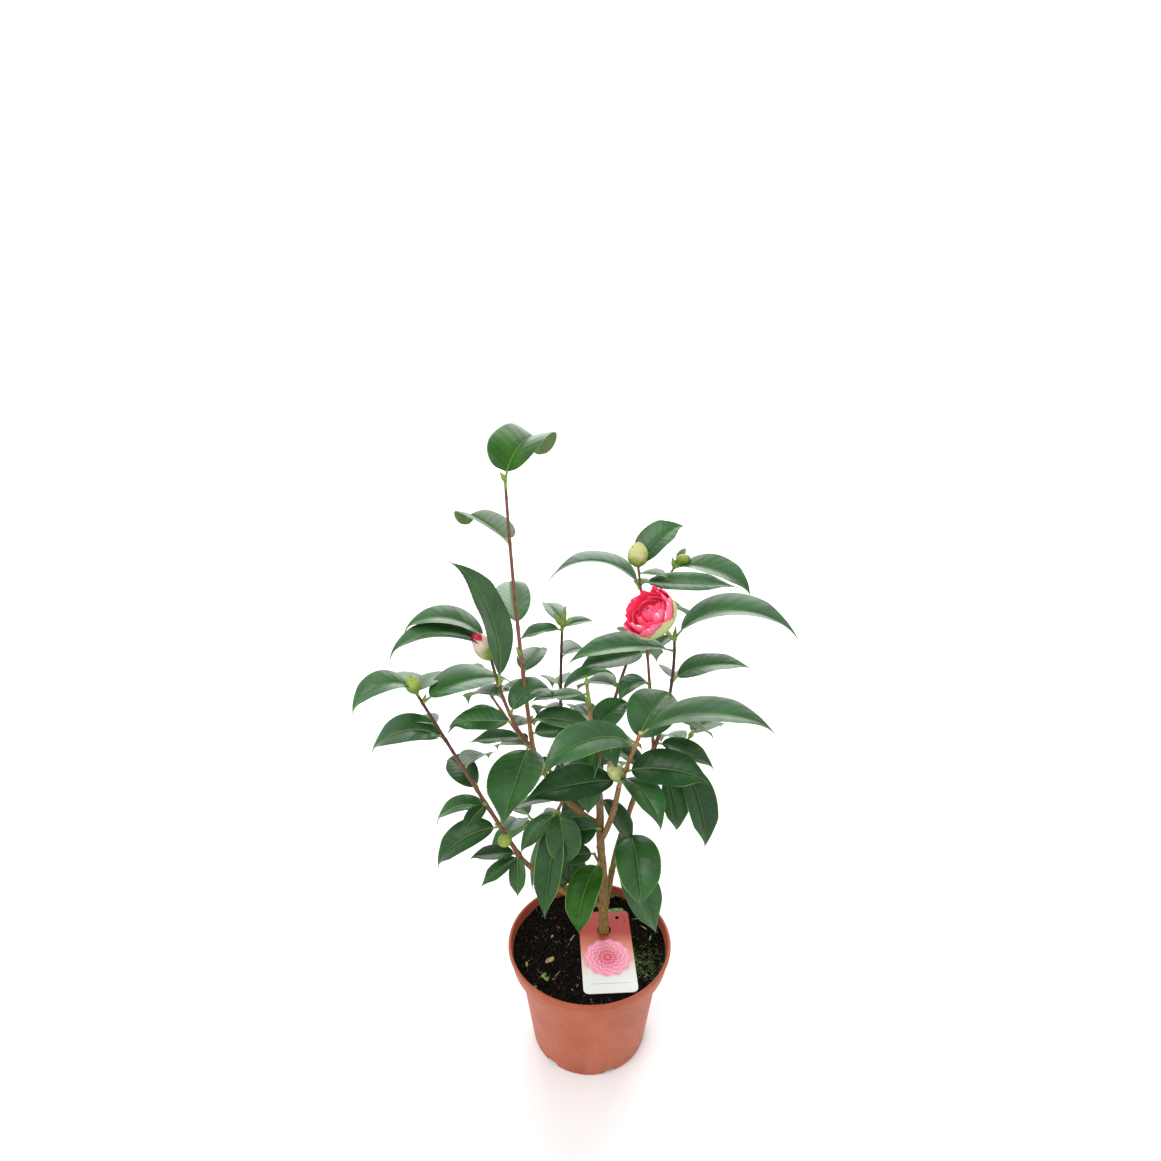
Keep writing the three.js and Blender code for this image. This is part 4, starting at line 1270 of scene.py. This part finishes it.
def shell(grid, thickness):
    """Points and faces of a thin closed shell over a grid of points."""
    count_rows, count_columns = grid.shape[:2]
    flow = np.cross(np.gradient(grid, axis=0), np.gradient(grid, axis=1))
    flow = flow / np.maximum(np.linalg.norm(flow, axis=-1, keepdims=True), 1e-12) * thickness / 2
    points = np.concatenate([(grid + flow).reshape(-1, 3), (grid - flow).reshape(-1, 3)])
    top = np.arange(count_rows * count_columns).reshape(count_rows, count_columns)
    low = top + top.size
    faces, sides = [], []
    for i in range(count_rows - 1):
        for j in range(count_columns - 1):
            faces.append((top[i, j], top[i + 1, j], top[i + 1, j + 1], top[i, j + 1]))
            faces.append((low[i, j], low[i, j + 1], low[i + 1, j + 1], low[i + 1, j]))
            sides += ["inside", "outside"]
    rim = [*top[0, :-1], *top[:-1, -1], *top[-1, :0:-1], *top[:0:-1, 0]]
    for here, there in zip(rim, rim[1:] + rim[:1]):
        faces.append((here, there, there + top.size, here + top.size))
        sides.append("rim")
    return points, [tuple(int(k) for k in face) for face in faces], sides


def axes_about(axis):
    """Two unit vectors square to an axis and to each other."""
    first = unit(np.cross(axis, np.eye(3)[np.argmin(np.abs(axis))]))
    return first, np.cross(axis, first)


def add_bud(gathering, root, heading, rise, length, thickness, kinds, tiers):
    """One bud: an egg-shaped core and tiers of scales. kinds gives the finish of core, scales and edges."""
    length, thickness = length * MM, thickness * MM
    axis = direction(heading, rise)
    foot = root - axis * BUD_SINK
    first, second = axes_about(axis)
    blunt = 0.9 if tiers is SLENDER_TIERS else 0.55

    def egg(height):
        return np.sin(np.pi * np.clip(height, 0, 1) ** 0.78) ** blunt

    heights = np.linspace(0.01, 0.995, 16)
    points, faces = tube(foot + axis * heights[:, None] * length, thickness / 2 * egg(heights), 16)
    gathering.add(points, faces, kinds[0], ages=np.repeat(heights, 16))
    p = np.linspace(-1, 1, SCALE_COLUMNS)[None]
    q = np.linspace(0, 1, SCALE_ROWS)[:, None]
    for tier, (low, high, count) in enumerate(tiers):
        layer = len(tiers) - 1 - tier
        for k in range(count):
            bearing = 2 * np.pi * (k + 0.29 * tier + 0.05 * vary(tier + 5 * k + heading)) / count
            spread = np.pi / count * (1.3 if count == 2 else 1.5)
            width = np.sqrt(np.clip(1 - q**3, 0.003, 1))
            angle = bearing + p * spread * width
            height = low + (high - low) * q * (1 - 0.07 * p * p)
            out = thickness / 2 * egg(np.maximum(height, 0.03)) + (0.08 + 0.13 * layer) * MM
            out = out * (1 if layer or tiers is OPEN_TIERS else 1 - 0.05 * q**4)
            grid = foot + axis * (height * length)[..., None]
            spokes = first * np.cos(angle)[..., None] + second * np.sin(angle)[..., None]
            grid = grid + spokes * out[..., None]
            points, faces, sides = shell(grid, 0.2 * MM)
            ages = np.clip(height, 0, 1) if tiers is not SLENDER_TIERS else np.broadcast_to(q, height.shape)
            part_kinds = [kinds[2] if side == "rim" else kinds[1] for side in sides]
            gathering.add(points, faces, part_kinds, ages=np.tile(ages.ravel(), 2))


def scale_finish(name, foot_tone, tip_tone, blush):
    """A bud scale's silky skin, from the bud's foot to its tip."""
    finish = Finish(name, {"Specular IOR Level": 0.35})
    age = finish.node("ShaderNodeAttribute", {"attribute_name": "age"}, {}, "Fac")
    place = finish.place()
    cloud = finish.cloud(place, 140, 3)
    colour = finish.blend(finish.step(age + cloud * 0.3, 0.4, 0.85), foot_tone, tip_tone)
    colour = finish.blend(finish.step(cloud, 0.48, 0.66) * 0.45, colour, blush)
    spots = finish.step(finish.cloud(place, 420, 2), 0.68, 0.74)
    finish.drive("Base Color", finish.blend(spots * 0.5, colour, tint("8a6238")))
    finish.drive("Roughness", 0.42 + cloud * 0.15)
    finish.relief(cloud, 0.0004, 0.3)
    return finish


green_scale = scale_finish("green_scale", tint("4a6a26"), tint("84994a"), tint("72883c"))
green_edge = scale_finish("green_edge", tint("6f8a35"), tint("98904a"), tint("8a7a3a"))
pale_scale = scale_finish("pale_scale", tint("7c9240"), tint("bfc382"), tint("d2b48e"))
pale_edge = scale_finish("pale_edge", tint("8b9650"), tint("c2b27c"), tint("b08a5c"))
lime_scale = scale_finish("lime_scale", tint("64842f"), tint("98ab4c"), tint("8f9a48"))
blush_scale = scale_finish("blush_scale", tint("7f9641"), tint("e6cfc0"), tint("e0b0a8"))
bud_petal = scale_finish("bud_petal", tint("b81f42"), tint("c81a3c"), tint("de4a66"))
bud_finishes = [green_scale, green_edge, pale_scale, pale_edge, lime_scale, blush_scale, bud_petal]
GREEN, PALE, LIME, OPENING = (0, 0, 1), (2, 2, 3), (4, 4, 1), (6, 5, 3)
FLOWER_BUDS = {"bud_shoot": PALE, "front_shoot": PALE, "left_shoot": OPENING}

buds = Gathering()
for name, shoot in SHOOTS.items():
    for row in shoot.get("buds", ()):
        kinds, tiers = FLOWER_BUDS.get(name, LIME), FAT_TIERS
        if row[4] < SLENDER_BELOW:
            kinds, tiers = GREEN, SLENDER_TIERS
        elif kinds is OPENING:
            tiers = OPEN_TIERS
        add_bud(buds, on_stem(name, row[0]), *row[1:], kinds, tiers)
    for k, row in enumerate(shoot["leaves"]):
        seed = 40 * numbers[name] + k
        if row[0] > 0.1 and vary(seed + 0.8) > -0.4:
            root = on_stem(name, row[0]) + direction(row[1], 0) * 0.8 * MM
            size = 1 + 0.3 * vary(seed + 0.15)
            shape = row[1] + 12, max(row[2], 10) + AXIL_LIFT, AXIL_LENGTH * size, AXIL_THICKNESS * size
            add_bud(buds, root, *shape, GREEN, SLENDER_TIERS)
for name, share, *shape in TIP_BUDS:
    add_bud(buds, on_stem(name, share), *shape, GREEN, SLENDER_TIERS)
bud_piece = buds.piece("buds", bud_finishes)
finished(bud_piece, "foliage", *SHOOTS)

# ---- Bloom ---------------------------------------------------------------------------------------
# One half-open double bloom that looks up to the left: silky petals cupped round a folded heart like a
# rose, coral pink with cream flecks along their rims, held from behind by broad pale green scales.

BLOOM_CENTRE = np.array((47.5, 13, 434)) * MM
BLOOM_HEADING, BLOOM_RISE = 206, 50
BLOOM_RADIUS = 20.5 * MM
PETAL_RINGS = (
    # petals, first bearing, half width, claw, belly and rim radii, foot and rim heights, in bloom radii
    (5, 8, 0.82, 0.20, 0.98, 1.03, -0.50, 0.40),
    (5, 46, 0.78, 0.18, 0.87, 0.84, -0.48, 0.50),
    (4, 62, 0.76, 0.16, 0.76, 0.66, -0.47, 0.26),
    (3, 20, 0.68, 0.14, 0.60, 0.40, -0.44, 0.34),
    (3, 75, 0.52, 0.10, 0.37, 0.12, -0.44, 0.38),
    (2, 40, 0.40, 0.04, 0.20, 0.02, -0.42, 0.37),
)
SCALE_RINGS = (
    (5, 30, 0.72, 0.20, 1.00, 1.03, -0.62, 0.06),
    (5, 66, 0.68, 0.20, 0.94, 1.00, -0.66, -0.12),
    (4, 10, 0.54, 0.16, 0.70, 0.82, -0.68, -0.34),
)
PETAL_ROWS, PETAL_COLUMNS = 17, 17
facing = direction(BLOOM_HEADING, BLOOM_RISE)
bloom_first, bloom_second = axes_about(facing)


def petal_grid(bearing, half_width, claw, belly, rim, foot, height, seed, frill):
    """A cupped petal of the bloom, from its claw to its wavy notched rim, and the places on it."""
    p = np.linspace(-1, 1, PETAL_COLUMNS)[None]
    q = np.linspace(0, 1, PETAL_ROWS)[:, None]
    notch = 1 - 0.17 * np.abs(p) ** 2.4 - 0.05 * np.exp(-((p / 0.2) ** 2))
    notch = notch + 0.03 * np.sin(4 * p + 3 * vary(seed))
    up = q * notch
    rounding = np.sin(np.pi / 2 * np.clip(up / 0.6, 0, 1)) ** 0.9
    turning = np.clip((up - 0.6) / 0.4, 0, 1) ** 1.5
    out = claw + (belly - claw) * rounding + (rim - belly) * turning
    level = foot + (height - foot) * up**1.35
    wave_along = np.sin(6 * p + 4 * vary(seed + 0.3)) * up**3
    out = out + frill * (0.035 * wave_along + 0.05 * p * p * up**2)
    level = level + frill * 0.02 * wave_along
    width = half_width * np.sin(np.pi * (0.1 + 0.8 * q)) ** 0.6 * (1 + 0.06 * vary(seed + 0.2))
    angle = np.radians(bearing) + p * width / np.maximum(out, 0.3 * half_width)
    spokes = bloom_first * np.cos(angle)[..., None] + bloom_second * np.sin(angle)[..., None]
    grid = BLOOM_CENTRE + (facing * level[..., None] + spokes * out[..., None]) * BLOOM_RADIUS
    marks = np.stack([np.broadcast_to(p, out.shape), np.broadcast_to(q, out.shape)], axis=-1)
    return grid, marks * [0.5, 1] + [0.5 + seed, 0]


def petal_finish(name, deep, light, fleck, fleck_share):
    """A petal's skin, with cream flecks that run up from its foot to its rim."""
    finish = Finish(name, {"Specular IOR Level": 0.3, "Subsurface Weight": 0.15})
    finish.shader.inputs["Subsurface Radius"].default_value = (0.002, 0.0008, 0.0006)
    pattern = finish.node("ShaderNodeUVMap", {"uv_map": "pattern"}, {})
    up = finish.along(pattern, "Y")
    streaks = finish.cloud(finish.stretched(pattern, (4, 1.3, 1)), 1.0, 3, 0.6)
    veins = finish.cloud(finish.stretched(pattern, (40, 2.2, 1)), 1.0, 2)
    colour = finish.blend(finish.step(up, 0.3, 1.0), deep, light)
    colour = finish.blend(veins * 0.25, colour, light)
    mark = finish.step(streaks + finish.step(up, 0.7, 1.0) * 0.12, 1 - fleck_share, 1.06 - fleck_share)
    finish.drive("Base Color", finish.blend(mark * 0.8, colour, fleck))
    finish.drive("Roughness", 0.5 + veins * 0.15)
    finish.relief(veins, 0.0005, 0.3)
    return finish


petal_front = petal_finish("petal_front", tint("ee1a48"), tint("ff4a78"), tint("fbe3d6"), 0.31)
petal_back = petal_finish("petal_back", tint("f63f70"), tint("ff7d9e"), tint("fae9da"), 0.36)
petal_heart = petal_finish("petal_heart", tint("f02a58"), tint("ff6088"), tint("ff9ab4"), 0.3)
bloom = Gathering()
for tier, (count, first_bearing, *shape) in enumerate(PETAL_RINGS):
    for k in range(count):
        seed = 10 * tier + k + 3
        bearing = first_bearing + 360 * k / count + 5 * vary(seed + 0.8)
        half_width, claw, belly, rim, foot, height = shape
        rim *= 1 + 0.06 * vary(seed + 0.6)
        height += 0.05 * vary(seed + 0.4)
        frill = 1.0 if tier < 2 else 0.4
        grid, marks = petal_grid(bearing, half_width, claw, belly, rim, foot, height, seed, frill)
        points, faces, sides = shell(grid, 0.35 * MM)
        part_kinds = [2 if tier > 1 else int(side == "outside") for side in sides]
        bloom.add(points, faces, part_kinds, np.tile(marks.reshape(-1, 2), (2, 1)))
bloom_piece = bloom.piece("bloom_petals", [petal_front, petal_back, petal_heart])
finished(bloom_piece, "foliage", "flower_shoot")

calyx = Gathering()
stalk_root = on_stem("flower_shoot", 0.97)
stalk_tip = BLOOM_CENTRE - facing * 0.5 * BLOOM_RADIUS
walk = np.linspace(0, 1, 7)[:, None]
points, faces = tube(stalk_root + (stalk_tip - stalk_root) * walk, np.linspace(1.4, 2.6, 7) * MM, 12)
calyx.add(points, faces)
for tier, (count, first_bearing, *shape) in enumerate(SCALE_RINGS):
    for k in range(count):
        grid, _ = petal_grid(first_bearing + 360 * k / count, *shape, 70 + 7 * tier + k, 0.3)
        points, faces, sides = shell(grid, 0.4 * MM)
        ages = np.tile(np.repeat(np.linspace(0, 1, PETAL_ROWS), PETAL_COLUMNS), 2)
        calyx.add(points, faces, [int(side == "rim") for side in sides], ages=ages)
calyx_piece = calyx.piece("bloom_scales", [pale_scale, pale_edge])
finished(calyx_piece, "foliage", "flower_shoot")

# ---- Fallen scraps -------------------------------------------------------------------------------
# A few things that lie loose on the peat: a tan bark flake, torn bits of green leaf and pale straws. Each
# is a flat rough lump.

SCRAPS = (
    # x, y, length, width, thickness, heading, in millimetres and degrees, and the finish
    (-36, -17, 8.5, 5.5, 2.4, 10, "flake"),
    (-38.5, -38.5, 8, 4.5, 0.8, 120, "green"),
    (-41, -36, 6, 3.6, 0.8, 40, "green"),
    (-48.5, -47.5, 5, 3, 0.8, 20, "green"),
    (-35, 11, 4, 2.2, 0.8, 70, "green"),
    (-16, 9, 10, 1.2, 1.0, 60, "straw"),
    (-29, -33, 9, 1.0, 0.9, 55, "straw"),
    (-33, -40, 6, 1.1, 0.9, 15, "straw"),
    (-57, -22, 5, 2.0, 1.0, 100, "straw"),
    (26, 43, 17, 7, 1.0, 5, "green"),
    (27, 64, 10, 6, 1.0, 30, "green"),
    (52, 22, 9, 1.2, 1.0, 130, "straw"),
    (57, 8, 7, 1.6, 1.0, 70, "green"),
    (45, 33, 8, 1.0, 0.9, 20, "straw"),
    (50, -36, 6, 1.4, 0.9, 45, "straw"),
)
SCRAP_SEGMENTS = 14
SCRAP_TINTS = {"flake": ("7d5f3c", "b99a6c"), "green": ("3c5526", "6f8a44"), "straw": ("5d4a30", "a08a62")}

scrap_outline = [(math.sin(a), -math.cos(a)) for a in np.linspace(0, math.pi, 9)]
scraps = Gathering()
scrap_finishes = []
for label, (dark, light) in SCRAP_TINTS.items():
    scrap_look = {"Roughness": 0.75}
    scrap_finishes.append(two_tone(f"scrap_{label}", scrap_look, 260, 3, 0.35, 0.65, dark, light))
for number, (x, y, length, width, thickness, heading, label) in enumerate(SCRAPS):
    points, faces = turned(scrap_outline, SCRAP_SEGMENTS)
    shaped = []
    for point in points:
        swell = 1 + 0.45 * noise.noise(Vector(point) * 1.5 + Vector((number * 3.1, 0.3, 0.7)))
        shaped.append([c * swell * size / 2 * MM for c, size in zip(point, (length, width, thickness))])
    turn = Matrix.Rotation(math.radians(heading), 3, "Z") @ Matrix.Rotation(0.22 * vary(number), 3, "Y")
    lift = soil_height(x * MM, y * MM) + 0.0016
    points = np.array(shaped) @ np.array(turn).T + [x * MM, y * MM, lift]
    scraps.add(points, faces, list(SCRAP_TINTS).index(label))
scrap_piece = scraps.piece("fallen_scraps", scrap_finishes)
finished(scrap_piece, "peat", "soil")
